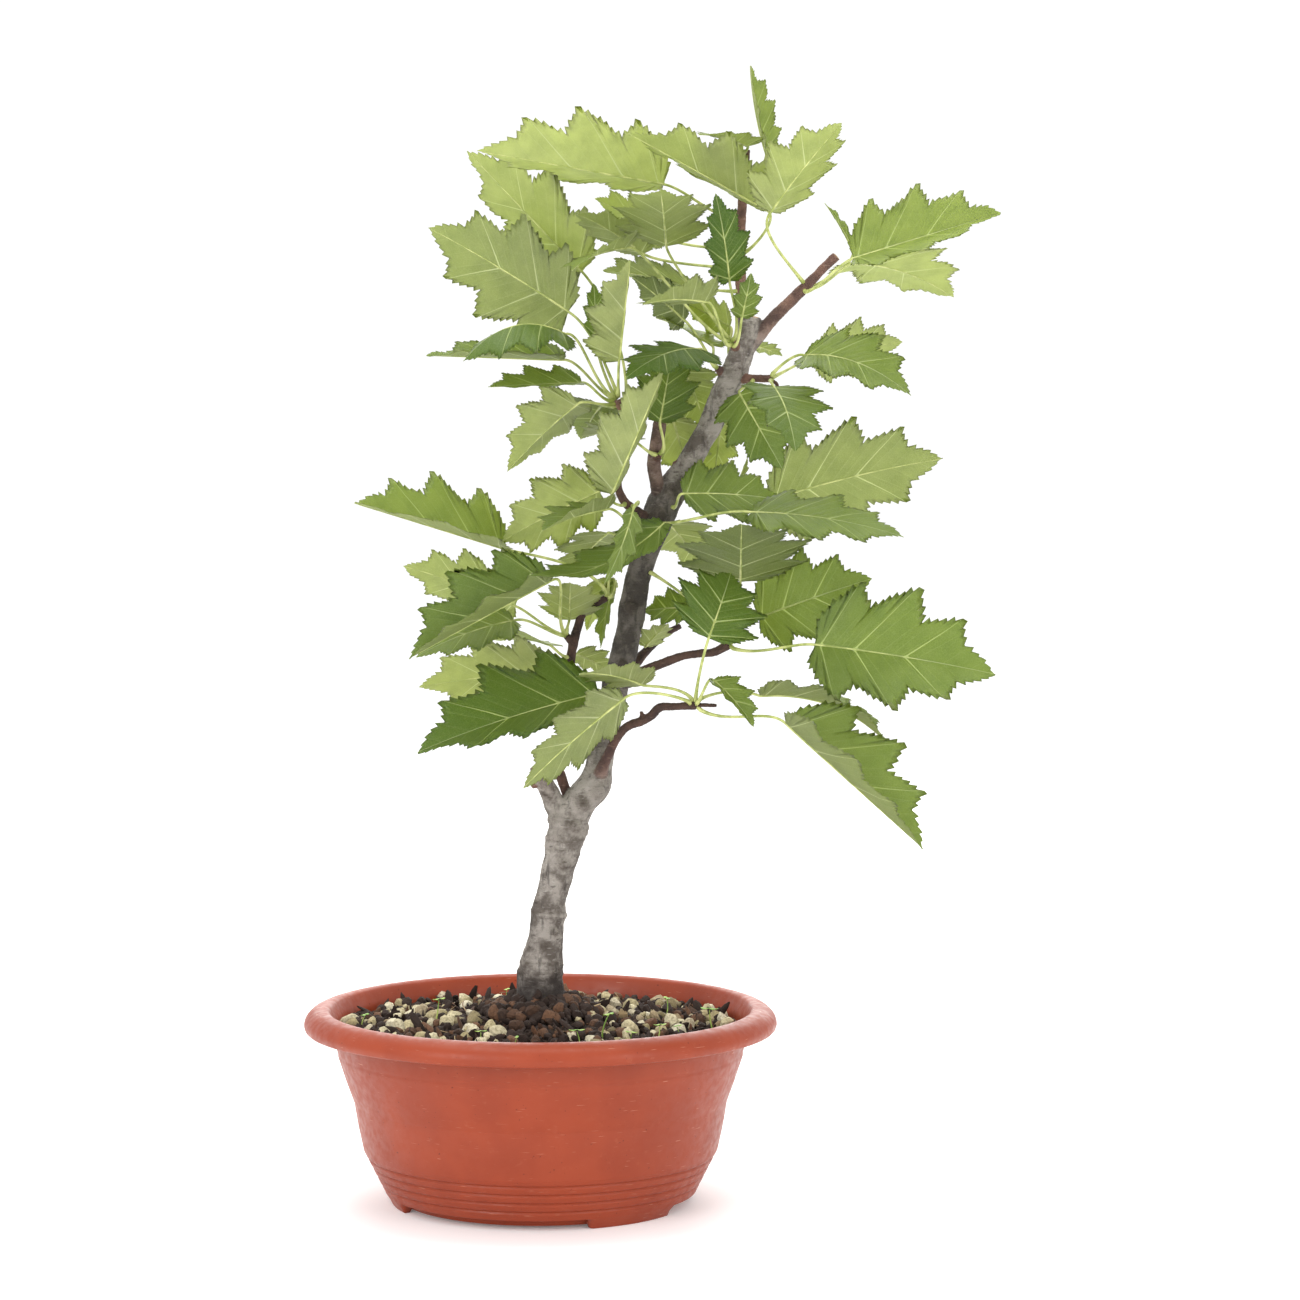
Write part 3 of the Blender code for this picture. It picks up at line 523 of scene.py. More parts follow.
grit = mesh_piece("loose_grit", np.concatenate(points), no_quads, np.concatenate(faces), (stone,), smooth=False)
store(grit, "tint", np.concatenate(tints))
store(grit, "bark", np.concatenate(peaty))
place(grit, "grit_layer")



# ---- Trunk, branches and roots ----
# One grown piece. Each limb is a tube swept along a smooth line through its points; all are joined by a
# voxel remesh, which rounds the crotches. The centre lines repeat the CAD model's, in millimetres.

COLLAR = 94                     # height of the trunk's foot in the lists below
TRUNK = (
    (-1, 0, 60, 8), (-1, 0, 82, 11), (-0.5, 0, 95, 12.6), (-0.5, 0, 105, 11.4), (0.5, 0, 116, 10.5),
    (2, -1, 124, 9), (3, -1, 135, 8.2), (4, -1, 141, 8.2), (5.5, -2, 150, 7.7), (8, -2, 160, 7.9),
    (10.5, -2, 170, 8.3), (12.5, -1, 180, 9.3), (15, 0, 188, 9), (20, 0, 196, 8.4), (26, 0, 203, 8.2),
    (28.5, 1, 212, 6.7), (30, 2, 222, 6.2), (34, 3, 240, 6.3), (38.5, 3, 260, 6.6), (43, 2, 278, 6.1),
    (45, 2, 290, 6.7), (47.5, 1, 304, 6), (51.5, 1, 318, 6.4), (56, 0, 330, 7.6), (60, 0, 340, 8),
    (66, 0, 350, 7), (72, 1, 359, 6), (78, 1, 370, 5.8), (83.5, 1, 380, 5.8), (87.5, 1, 391, 5.8),
    (93, 0, 401, 6.4), (97, 0, 412, 6), (99.5, -1, 420, 5.4), (101.5, -2, 430, 5.4),
)
LIMBS = {
    "left_fork": ((11, 0, 184, 6), (7, -2, 194, 5.2), (4, -4, 201, 4.6), (0.5, -6, 208, 4.3), (-1, -7, 213, 4.3)),
    "left_fork_spur": ((0, -5, 205, 2), (-4, -7, 203, 1.2)),
    "thin_stem": (
        (14, 3, 186, 4), (13, 5, 197, 2.8), (10.5, 6, 205, 2.5), (8, 7, 213, 2.5), (10.5, 8, 222, 2.4),
        (13, 9, 236, 2.4), (14.5, 9, 262, 2.3), (16, 8, 272, 2.4), (18.5, 8, 281, 2.2), (22, 7, 293, 2.3),
    ),
    "thin_stem_spur": ((21, 7, 289.5, 1.8), (27, 5, 291, 1.6), (32, 3, 294, 1.9)),
    "thin_stem_bud": ((16, 8, 271, 1.7), (12.5, 5, 275.5, 1.9)),
    "middle_stub": (
        (60, 0, 337, 4), (57, -4, 347, 3.4), (55.2, -5, 359, 3.4), (56.5, -5, 370, 3.3), (58, -5, 379, 3.3),
    ),
    "middle_spur": ((56, -6, 361, 2), (57.5, -10, 363.5, 1.8)),
    "cut_peg": ((65, 0, 349, 3), (65.5, -1, 360, 1.4)),
    "dark_stub": ((54, -2, 329, 5), (49, -8, 329, 4.2), (45, -12, 327.5, 4.2)),
    "left_twig": (
        (51, -5, 333, 2.8), (45, -11, 337.5, 2.4), (41, -13, 341, 2.2), (38, -15, 348, 1.9),
        (38.5, -16, 357, 1.8), (40.5, -17, 370, 1.7), (40.5, -18, 382, 1.8), (38, -18, 390, 2.8),
    ),
    "upper_right": (
        (98, 0, 413, 5), (104, 0, 419.5, 3.8), (110, -1, 426, 3.2), (117, -2, 433.5, 2.9),
        (128, -4, 444, 2.6), (135, -5, 451.5, 2.2), (142.5, -7, 458.5, 2.3),
    ),
    "leader": (
        (99, 1, 418, 4.4), (98, 6, 432, 2.9), (97, 7, 450, 2.6), (97, 7, 470, 2.4), (98, 6, 490, 2.2),
        (99.5, 6, 510, 2),
    ),
    "right_spur": ((95, -1, 400, 3), (104, -6, 400, 1.9), (111, -9, 400, 2)),
    "right_spur_peg": ((110, -9, 400, 1), (114, -12, 397, 0.9), (113.5, -13, 391, 0.9)),
    "top_spur": ((97, -1, 413, 3), (92, -8, 417.5, 2)),
    "left_spur": ((90, 0, 401, 3), (85.5, -4, 405, 1.8)),
    "branch_low_right": (
        (42, -1, 254, 4), (48, -7, 258, 2.6), (54, -9, 261, 2.3), (68, -13, 266.5, 2.1), (76, -15, 268, 2),
        (84, -16, 269, 2.1), (91, -17, 272.5, 2),
    ),
    "branch_back": ((40, 3, 256, 3.5), (47, 9, 263, 2.6), (53, 14, 269, 2.1), (60, 19, 275, 1.9), (68, 24, 279, 1.7)),
    "branch_lowest": (
        (28, 0, 206, 4.5), (30, -8, 212, 3.2), (33, -11, 219, 2.4), (37, -14, 227, 2.2), (42, -17, 233, 2.1),
        (49, -20, 236, 2.2), (54, -22, 239, 2.1), (58, -24, 243, 2.1), (66, -26, 243.5, 1.9), (75, -28, 244.5, 2.4),
    ),
    "lowest_twiglet": ((75, -28, 244.5, 1.2), (85, -31, 244.5, 0.9)),
    "lowest_peg": ((49.5, -20, 236, 1.2), (49, -20.5, 241, 1)),
}
ROOTS = {
    "root_left": ((0, 0, 96, 6), (-12, -3, 91, 4.2), (-20, -5, 84, 3)),
    "root_right": ((0, 0, 96, 6), (12, -4, 91, 4.2), (20, -7, 84, 3)),
    "root_front": ((0, 0, 96, 6), (2, -13, 91, 3.8), (4, -20, 83, 2.8)),
    "root_back_left": ((0, 0, 96, 6), (-6, 12, 91, 3.8), (-10, 19, 84, 2.8)),
    "root_back_right": ((0, 0, 96, 6), (9, 11, 91, 3.8), (14, 17, 84, 2.8)),
}
RING_SCARS = (                  # height, swelling and width
    (112, 0.8, 1.4), (116.5, 0.9, 1.2), (119.5, 0.5, 0.9), (141, 1.0, 1.0), (172, 0.5, 1.1), (176, 0.9, 1.0),
    (179, 0.7, 0.8), (182, 1.0, 1.0), (185.5, 0.8, 0.9), (189, 0.6, 1.1),
)
KNOTS = (                       # middle and size
    (11, -9, 166, 3.4), (7, -8.5, 133, 2.2), (2, -9, 126, 2.2), (17, -8.5, 184, 4.0), (21, -7, 195, 4.0),
    (28, -7, 201, 4.0), (30.5, -3, 208, 4.0), (19.5, -3, 183, 4.4), (7, -5, 187, 3.8), (10, -8, 180, 3.2),
    (40, -5, 262, 3.0), (44, -4, 290, 3.4), (57, -7, 334, 4.5), (66, -6, 341, 3.0), (94, -5, 402, 3.4),
    (63, -7, 345, 2.6),
)
CUT_ENDS = ("left_fork", "thin_stem", "middle_stub", "dark_stub", "upper_right", "leader", "right_spur_peg")
LIFT = compost_top(0) - COLLAR * MM


def planted(points):
    """Listed points, in metres, raised to where the trunk's foot stands."""
    return np.asarray(points, float)[:, :3] * MM + (0, 0, LIFT)


def smooth_line(points, spacing):
    """Catmull-Rom line through points (their last columns carried along), about spacing metres apart."""
    points = np.asarray(points, float)
    ends = np.concatenate([[2 * points[0] - points[1]], points, [2 * points[-1] - points[-2]]])
    line = []
    for p0, p1, p2, p3 in zip(ends[:-3], ends[1:-2], ends[2:-1], ends[3:]):
        steps = max(2, int(np.linalg.norm((p2 - p1)[:3]) / spacing))
        t = (np.arange(steps) / steps)[:, None]
        square, cube = 2 * p0 - 5 * p1 + 4 * p2 - p3, 3 * p1 - p0 - 3 * p2 + p3
        line.append(0.5 * (2 * p1 + (p2 - p0) * t + square * t * t + cube * t ** 3))
    return np.concatenate(line + [points[-1:]])


def tube(line, radii, around):
    """Points and faces of a closed tube along a line, each ring turned as little as possible from the last."""
    ways = np.gradient(line, axis=0)
    ways /= np.linalg.norm(ways, axis=1, keepdims=True)
    side = np.cross(ways[0], (0.3, 0.9, 0.2))
    sides = []
    for way in ways:
        side = side - way * (side @ way)
        side /= np.linalg.norm(side)
        sides.append(side)
    sides = np.array(sides)
    fronts = np.cross(ways, sides)
    turn = np.arange(around) * 2 * math.pi / around
    rings = sides[:, None] * np.cos(turn)[None, :, None] + fronts[:, None] * np.sin(turn)[None, :, None]
    radii = np.broadcast_to(radii, (len(line), around))
    points = (line[:, None] + rings * radii[..., None]).reshape(-1, 3)
    points = np.concatenate([points, line[:1], line[-1:]])
    return points, grid_faces(len(line), around), end_fans(len(line), around)


def limb_rows(listed):
    """A limb's listed points and radii in metres."""
    return np.concatenate([planted(listed), np.asarray(listed, float)[:, 3:4] * MM], axis=1)


def limb_tube(listed, around, seed):
    """A limb with slightly uneven girth, and ring scars on the trunk."""
    path = smooth_line(limb_rows(listed), 0.8 * MM)
    turn = np.arange(around) * 2 * math.pi / around
    radii = np.repeat(path[:, 3:4], around, axis=1)
    across = np.cos(turn)[None] * 8 * MM, np.sin(turn)[None] * 8 * MM
    cells = np.stack(np.broadcast_arrays(path[:, 2:3], *across), axis=-1)
    radii *= 1 + 0.035 * wobble(cells.reshape(-1, 3), 12 * MM, seed).reshape(radii.shape)
    if listed is TRUNK:
        for height, swell, width in RING_SCARS:
            away = (path[:, 2:3] - LIFT) / MM - height - 0.8 * np.sin(turn + height)
            radii += swell * MM * np.exp(-(away / width) ** 2) * (0.75 + 0.25 * np.cos(turn - 1.5 * height))
    return tube(path[:, :3], radii, around)


points, quads, fans, start = [], [], [], 0
for number, (name, listed) in enumerate([("trunk", TRUNK), *LIMBS.items(), *ROOTS.items()]):
    skin, sides, caps = limb_tube(listed, 40 if name == "trunk" else 16, 40 + number)
    points.append(skin)
    quads.append(sides + start)
    fans.append(caps + start)
    start += len(skin)
ball, ball_faces = sphere_net(3)
for x, y, z, size in KNOTS:
    middle = planted([(x, y, z)])
    points.append(ball * (size * MM, size * MM * 0.7, size * MM * 0.9) + middle)
    fans.append(ball_faces + start)
    start += len(ball)

tree = mesh_piece("tree_wood", np.concatenate(points), np.concatenate(quads), np.concatenate(fans))
remesh = tree.modifiers.new("join", "REMESH")
remesh.mode = "VOXEL"
remesh.voxel_size = 0.62 * MM
remesh.use_smooth_shade = True
settle(tree)

for label, size, depth in (("flakes", 5 * MM, 0.7 * MM), ("cracks", 1.6 * MM, 0.35 * MM)):
    pattern = bpy.data.textures.new(label, "CLOUDS")
    pattern.noise_scale = size
    pattern.noise_depth = 3
    push = tree.modifiers.new(label, "DISPLACE")
    push.texture = pattern
    push.texture_coords = "LOCAL"
    push.strength = depth
    push.mid_level = 0.5
settle(tree)

# The bark's shading needs to know how thick the limb is at each point and whether it is a sawn end.
wood = [limb_rows(listed) for listed in (TRUNK, *LIMBS.values())]
lows = np.concatenate([rows[:-1] for rows in wood])
highs = np.concatenate([rows[1:] for rows in wood])
skin = np.zeros(len(tree.data.vertices) * 3, np.float32)
tree.data.vertices.foreach_get("co", skin)
skin = skin.reshape(-1, 3).astype(float)
nearest = np.full(len(skin), np.inf)
girth = np.zeros(len(skin))
for low, high in zip(lows, highs):
    way = high[:3] - low[:3]
    share = np.clip((skin - low[:3]) @ way / (way @ way), 0, 1)
    radius = low[3] + (high[3] - low[3]) * share
    away = np.linalg.norm(skin - low[:3] - share[:, None] * way, axis=1) / radius
    closer = away < nearest
    nearest[closer] = away[closer]
    girth[closer] = radius[closer]
sawn = np.zeros(len(skin))
for row in [TRUNK] + [LIMBS[name] for name in CUT_ENDS]:
    end, before = planted(row[-2:])[::-1]
    way = (end - before) / np.linalg.norm(end - before)
    beyond = (skin - end) @ way
    flat = np.linalg.norm(skin - end - beyond[:, None] * way, axis=1)
    sawn[(beyond > -0.7 * MM) & (flat < row[-1][3] * MM * 0.8)] = 1
knots = np.asarray(KNOTS)
spread = np.linalg.norm(skin[:, None] - planted(KNOTS)[None], axis=2) / (knots[:, 3] * MM)
scar = np.clip(1.5 - spread.min(axis=1), 0, 1)
on_trunk = girth > 6 * MM
for height, swell, _ in RING_SCARS:
    level = (skin[:, 2] - LIFT) / MM - height - 0.8
    scar = np.maximum(scar, 0.8 * swell * np.exp(-(level / 0.8) ** 2) * on_trunk)
store(tree, "girth", girth)
store(tree, "sawn", sawn)
store(tree, "scar", scar)

bark, shader = new_material("young bark", Roughness=0.8)
where = object_place(bark)
blotch = noise(bark, where, 11 * MM, detail=7, roughness=0.66)
streaks = noise(bark, where, 5 * MM, detail=5, stretch=(1.6, 1.6, 0.35))
bands = noise(bark, where, 2.0 * MM, detail=5, stretch=(0.45, 0.45, 1.5))
fine = noise(bark, where, 0.8 * MM, detail=7, roughness=0.7)
old = blend_colour(bark, smooth_band(bark, blotch, 0.40, 0.60), colour("5E564F"), colour("9A938B"))
old = blend_colour(bark, smooth_band(bark, streaks, 0.56, 0.70, 0.0, 0.7), old, colour("37312D"))
old = blend_colour(bark, smooth_band(bark, bands, 0.58, 0.72, 0.0, 0.45), old, colour("B9B4AC"))
old = blend_colour(bark, smooth_band(bark, bands, 0.30, 0.40, 0.6, 0.0), old, colour("332A24"))
old = blend_colour(bark, smooth_band(bark, fine, 0.58, 0.70, 0.0, 0.65), old, colour("3A302A"))
young = blend_colour(bark, smooth_band(bark, blotch, 0.35, 0.65), colour("4A332D"), colour("7C5B4D"))
young = blend_colour(bark, smooth_band(bark, bands, 0.58, 0.7, 0.0, 0.35), young, colour("A08878"))
tone = blend_colour(bark, smooth_band(bark, attribute(bark, "girth"), 2.4 * MM, 5.2 * MM), young, old)
# Painted shade: the middle of the trunk, where the leaves shade it, is darker than its foot and top. The foot is
# stained by wet peat.
height = node(bark, "ShaderNodeSeparateXYZ", {0: where}).outputs[2]
above, below = smooth_band(bark, height, 0.205, 0.245), smooth_band(bark, height, 0.33, 0.37, 1.0, 0.0)
# Painted shade band over the trunk's middle, multiplied into the bark's colour.
middle = math_node(bark, "MULTIPLY", above, below)
tone = blend_colour(bark, math_node(bark, "MULTIPLY", middle, 0.75), tone, colour("6E6862"), mode="MULTIPLY")
ragged = math_node(bark, "ADD", height, math_node(bark, "MULTIPLY", blotch, 0.02))
tone = blend_colour(bark, smooth_band(bark, ragged, 0.112, 0.126, 0.92, 0.0), tone, colour("1F1510"))
mark = math_node(bark, "MULTIPLY", attribute(bark, "scar"), smooth_band(bark, fine, 0.30, 0.55, 1.0, 0.45))
tone = blend_colour(bark, math_node(bark, "MULTIPLY", mark, 0.8), tone, colour("3D3223"))
tone = blend_colour(bark, attribute(bark, "sawn"), tone, colour("A58562"))
link(bark, tone, shader, "Base Color")
relief = math_node(bark, "ADD", math_node(bark, "MULTIPLY", bands, 0.6), math_node(bark, "MULTIPLY", fine, 0.6))
add_bump(bark, shader, relief, 1.1 * MM, 1.0)
tree.data.materials.append(bark)
place(tree, "tree")


# ---- Seedlings and fibres ----
# A few weeds have come up: each is a bent stalk with two round seed leaves. Dry root fibres and grass
# lie about. All are one piece, like the grit. Lengths are in millimetres until the mesh is made.

def thin_tube(start, end, bow, radius, around=6, count=10):
    """Points and faces of a thin tube from start to end, bent sideways by bow; all in millimetres."""
    t = np.linspace(0, 1, count)[:, None]
    line = (np.asarray(start) * (1 - t) + np.asarray(end) * t + np.asarray(bow) * 4 * t * (1 - t)) * MM
    return tube(line, np.full((count, 1), radius * MM) * (1 - 0.4 * t), around)


SEEDLINGS = (                   # x, y, height and leaf size
    (-51, -8, 12, 1.0), (-17, 30, 9, 0.8), (-86, -12, 8, 0.9), (60, 5, 11, 1.0), (84, -14, 11, 1.2),
    (56, -48, 8, 0.9), (31, -52, 13, 1.1), (-26, -62, 7, 0.8), (20, -66, 8, 1.0), (-9, -70, 6, 0.7),
    (46, -60, 7, 0.9), (67, -38, 6, 0.8),
)
draw = np.random.default_rng(77)
net, net_faces = sphere_net(2)
points, quads, triangles, greens, start = [], [], [], [], 0
for x, y, tall, size in SEEDLINGS:
    ground = compost_top(math.hypot(x, y) * MM) / MM
    lean = draw.uniform(-0.25, 0.25, 2) * tall
    top = np.array([x + lean[0], y + lean[1], ground + tall])
    skin, sides, caps = thin_tube((x, y, ground - 1), top, (0.6 * lean[1], -0.6 * lean[0], 0), 0.4 * size)
    points.append(skin)
    quads.append(sides + start)
    triangles.append(caps + start)
    greens.append(np.full(len(skin), 0.8))
    start += len(skin)
    turn = draw.uniform(0, math.pi)
    for way in (1, -1):
        out = np.array([math.cos(turn), math.sin(turn), 0]) * way
        flat = net * (2.1, 1.2, 0.22) * size
        flat[:, 2] += 0.25 * np.abs(flat[:, 0])
        turned = flat[:, :1] * out + flat[:, 1:2] * np.array([-out[1], out[0], 0]) + flat[:, 2:] * np.array([0, 0, 1])
        points.append((turned + top + out * 1.9 * size + (0, 0, 0.4)) * MM)
        triangles.append(net_faces + start)
        greens.append(np.full(len(net), 1.0))
        start += len(net)
for _ in range(60):
    way, far = draw.uniform(0, 2 * math.pi), draw.uniform(12, 88)
    spot = np.array([far * math.cos(way), far * math.sin(way), compost_top(far * MM) / MM + draw.uniform(0.6, 3.2)])
    reach = draw.normal(size=3) * (1, 1, 0.22) * draw.uniform(3, 9)
    bow, radius = draw.normal(size=3) * (1.6, 1.6, 0.8), draw.uniform(0.16, 0.36)
    skin, sides, caps = thin_tube(spot - reach, spot + reach, bow, radius)
    points.append(skin)
    quads.append(sides + start)
    triangles.append(caps + start)
    greens.append(np.full(len(skin), 0.0))
    start += len(skin)

sprout, shader = new_material("seedling leaf and dry fibre", Roughness=0.6)
shade = smooth_band(sprout, noise(sprout, object_place(sprout), 7 * MM, detail=2), 0.35, 0.65)
dry = blend_colour(sprout, shade, colour("6B4C33"), colour("B59B72"))
green = blend_colour(sprout, shade, colour("6E9A35"), colour("A5C05A"))
link(sprout, blend_colour(sprout, attribute(sprout, "green"), dry, green), shader, "Base Color")
points, quads, triangles = (np.concatenate(rows) for rows in (points, quads, triangles))
weeds = mesh_piece("seedlings_and_fibres", points, quads, triangles, (sprout,))
store(weeds, "green", np.concatenate(greens))
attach(weeds, "root")


# ---- Leaves ----
# A leaf is one skin: rings of points that follow the veins from the midrib out to the toothed margin and
# back underneath, and a round stalk that runs on under the blade as its midrib. Its places repeat the CAD
# model's, in millimetres. The last number is the leaf's tone, from 0, deep green, to 1, yellow-green: partly
# the leaf's own colour and partly painted shade and painted light, darker for leaves in shade, lighter for lit ones.

LEAVES = (
    ((101, 5, 497), (109, 3, 508), (101, -6, 549), (0.9, -0.35, 0.1), 25, -0.03, 0.85, 0.6),
    ((98, 4, 505), (100, -3, 511), (76, -44, 514), (0.1, 0.12, 1.0), 12, 0.03, 0.8, 0.6),
    ((99, 5, 461), (109, -14, 480), (43, -40, 515), (0.35, 0.45, 0.85), 26, 0.0, 0.95, 0.7),
    ((127, -5, 446), (110, -36, 478), (142, -64, 518), (-0.1, 0.5, 0.85), 20, 0.02, 1.0, 0.8),
    ((128, -8, 441), (150, -18, 457), (219, -32, 478), (-0.2, -0.67, 0.71), 28, 0.0, 1.0, 0.6),
    ((131, -1, 443), (151, -5, 455), (203, 46, 440), (0.1, 0.5, 0.85), 10, 0.06, 1.0, 0.85),
    ((94, 6, 476), (60, 0, 493), (-29, -20, 508), (0.12, 0.73, 0.67), 36, 0.0, 0.85, 1.0),
    ((41, -15, 387), (20, 20, 452), (-36, 33, 511), (0.5, 0.7, 0.5), 6, 0.0, 0.95, 0.8),
    ((37, -14, 395), (14, 3, 432), (-54, 14, 473), (0.2, 0.9, 0.37), 10, 0.03, 1.0, 0.5),
    ((90, -7, 420), (61, -12, 463), (58, -70, 487), (0.0, 0.4, 0.9), 12, 0.04, 1.0, 0.5),
    ((89, -10, 418), (42, -18, 462), (17, -62, 450), (-0.2, 0.35, 0.9), 10, 0.05, 0.9, 0.6),
    ((94, 6, 453), (50, 6, 460), (18, -26, 478), (0.0, 0.45, 0.9), 10, 0.04, 0.85, 0.6),
    ((95.5, -11.5, 421), (91, -20, 446), (84, -36, 487), (0.25, -0.95, 0.1), 14, 0.05, 0.72, 0.0),
    ((91, -11, 415), (80, -34, 436), (50, -74, 434), (-0.1, 0.45, 0.88), 14, 0.04, 0.95, 0.6),
    ((84, -6, 406), (77, -14, 414), (42, -58, 400), (0.0, -0.45, 0.9), -5, 0.08, 0.95, 0.03),
    ((84, -2, 407), (83, 8, 416), (56, 46, 430), (-0.1, 0.45, 0.85), 8, 0.03, 0.9, 0.7),
    ((95, 6, 442), (74, 10, 444), (30, 38, 453), (0.0, 0.5, 0.85), 10, 0.03, 0.85, 0.4),
    ((87, -11, 272), (106, 8, 284), (160, -10, 304), (-0.2, -0.93, 0.25), 8, 0.03, 1.05, 0.33),
    ((38, -20, 394), (38.5, -26, 408), (44, -58, 455), (-0.7, 0.65, 0.2), 38, 0.0, 0.85, 0.8),
    ((34, -19, 392), (13, -26, 421), (-34, -56, 408), (0.0, -0.2, 1.0), -22, 0.18, 1.0, 0.15),
    ((34, -15, 391), (12, -8, 409), (-54, -10, 411), (0.03, -0.18, 0.98), 20, 0.0, 0.85, 0.3),
    ((33, -20, 389), (21, -30, 398), (-23, -46, 396), (0.0, -0.36, 0.93), 17, 0.0, 0.9, 0.3),
    ((33, -20, 387), (19, -26, 388), (-16, 10, 355), (-0.28, 0.9, 0.31), 38, 0.04, 0.85, 0.8),
    ((34, -15, 386), (30, -8, 387), (19, 38, 370), (0.2, 0.35, 0.9), 10, 0.05, 0.9, 0.15),
    ((59, -11, 365), (58, -16, 379), (64, 22, 412), (0.1, -0.65, 0.75), 12, 0.03, 0.85, 0.1),
    ((54, -10, 364), (44, -8, 371), (20, 26, 372), (0.0, 0.4, 0.9), 10, 0.05, 0.9, 0.5),
    ((41, -17, 339), (35, -33, 345), (60, -40, 404), (-0.7, 0.7, 0.1), 38, 0.0, 0.9, 0.8),
    ((36, -15, 349), (29, -8, 346), (-18, -16, 322), (-0.2, 0.85, 0.45), 8, 0.03, 1.1, 0.95),
    ((43, -16, 331), (33, -30, 338), (3, -66, 329), (-0.3, -0.1, 0.95), 25, 0.03, 0.95, 0.4),
    ((42, -13, 325), (33, -12, 326), (14, 26, 304), (-0.4, 0.7, 0.55), 8, 0.03, 0.95, 0.5),
    ((45, -14, 339), (45, -56, 338), (32, -80, 305), (0.7, -0.5, 0.5), 20, 0.05, 0.45, 0.4),
    ((58, -11, 328), (60, -20, 331), (-3, -66, 309), (-0.2, -0.5, 0.85), 10, -0.12, 0.5, 0.2),
    ((32, 3, 296), (-17, -2, 318), (-87, -34, 341), (0.2, -0.45, 0.87), 36, 0.0, 0.9, 0.5),
    ((11, 3, 278), (6, -31, 304), (-60, -57, 269), (-0.41, -0.54, 0.73), 48, 0.0, 1.0, 0.25),
    ((10, 6, 276), (-12, 2, 290), (-67, 14, 309), (0.3, 0.8, 0.5), 8, 0.03, 0.95, 0.7),
    ((10, 3, 276), (-12, -14, 284), (-58, -34, 268), (-0.2, -0.6, 0.75), 8, 0.05, 0.95, 0.4),
    ((12, 7, 265), (4, 6, 271), (-27, 40, 271), (0.0, 0.4, 0.9), 8, 0.05, 0.95, 0.8),
    ((32, -6, 238), (29, -16, 249), (-57, -42, 223), (-0.25, -0.6, 0.76), 20, 0.03, 0.95, 0.06),
    ((11, 11, 248), (6, 16, 257), (-60, 22, 249), (0.0, 0.75, 0.65), 5, 0.03, 0.95, 0.85),
    ((72, -30, 246), (41, -46, 249), (-6, -80, 210), (-0.3, 0.75, 0.2), 12, 0.03, 0.58, 0.5),
    ((73, -28, 247), (50, -30, 254), (20, -64, 262), (0.0, 0.5, 0.85), 8, 0.05, 0.95, 0.6),
    ((75, -29, 248), (81, -38, 277), (92, -12, 307), (0.35, -0.6, 0.7), 8, 0.05, 1.5, 0.1),
    ((55, -4, 306), (73, 4, 289), (50, 14, 287), (0.0, -0.8, 0.5), 8, 0.04, 1.15, 0.12),
    ((93, -14, 274), (97, 2, 302), (96, -62, 332), (0.0, 0.42, 0.9), 6, 0.03, 1.2, 0.12),
    ((60, -12, 330), (101, -44, 337), (172, -58, 326), (0.1, -0.4, 0.9), 5, 0.04, 0.95, 0.4),
    ((65, -8, 338), (69, -19, 345), (118, 2, 341), (0.1, -0.76, 0.6), 8, 0.04, 0.95, 0.35),
    ((66, 6, 343), (112, 20, 341), (197, 32, 361), (-0.15, 0.8, 0.58), 5, 0.03, 1.05, 0.45),
    ((56, 9, 330), (62, 18, 330), (84, 54, 300), (0.3, 0.7, 0.6), 8, 0.03, 0.95, 0.6),
    ((102, -8, 398), (96, -12, 393), (116, -36, 357), (-0.3, -0.7, 0.5), 10, 0.06, 1.0, 0.25),
    ((111, -12, 399), (112, -26, 396), (121, -66, 366), (0.25, -0.75, 0.6), 10, 0.08, 1.1, 0.25),
    ((112, -8, 402), (127, -16, 411), (176, -46, 392), (0.15, -0.7, 0.7), 12, 0.12, 0.95, 0.4),
    ((113, -7, 401), (134, 14, 410), (177, 34, 418), (0.0, 0.9, 0.4), 8, 0.03, 0.9, 0.75),
    ((76, -31, 246), (83, -36, 257), (102, -52, 236), (0.5, -0.6, 0.6), 28, 0.05, 0.9, 0.3),
    ((77, -27, 247), (106, -18, 248), (169, -40, 224), (0.25, 0.12, 0.95), 24, 0.12, 0.72, 0.35),
    ((78, -28.5, 241.5), (117, -54, 238), (180, -82, 182), (0.6, -0.4, 0.7), 40, 0.0, 1.0, 0.35),
    ((93, -18, 271), (132, -24, 273), (217, -40, 260), (0.05, -0.88, 0.47), 20, 0.03, 1.05, 0.33),
)

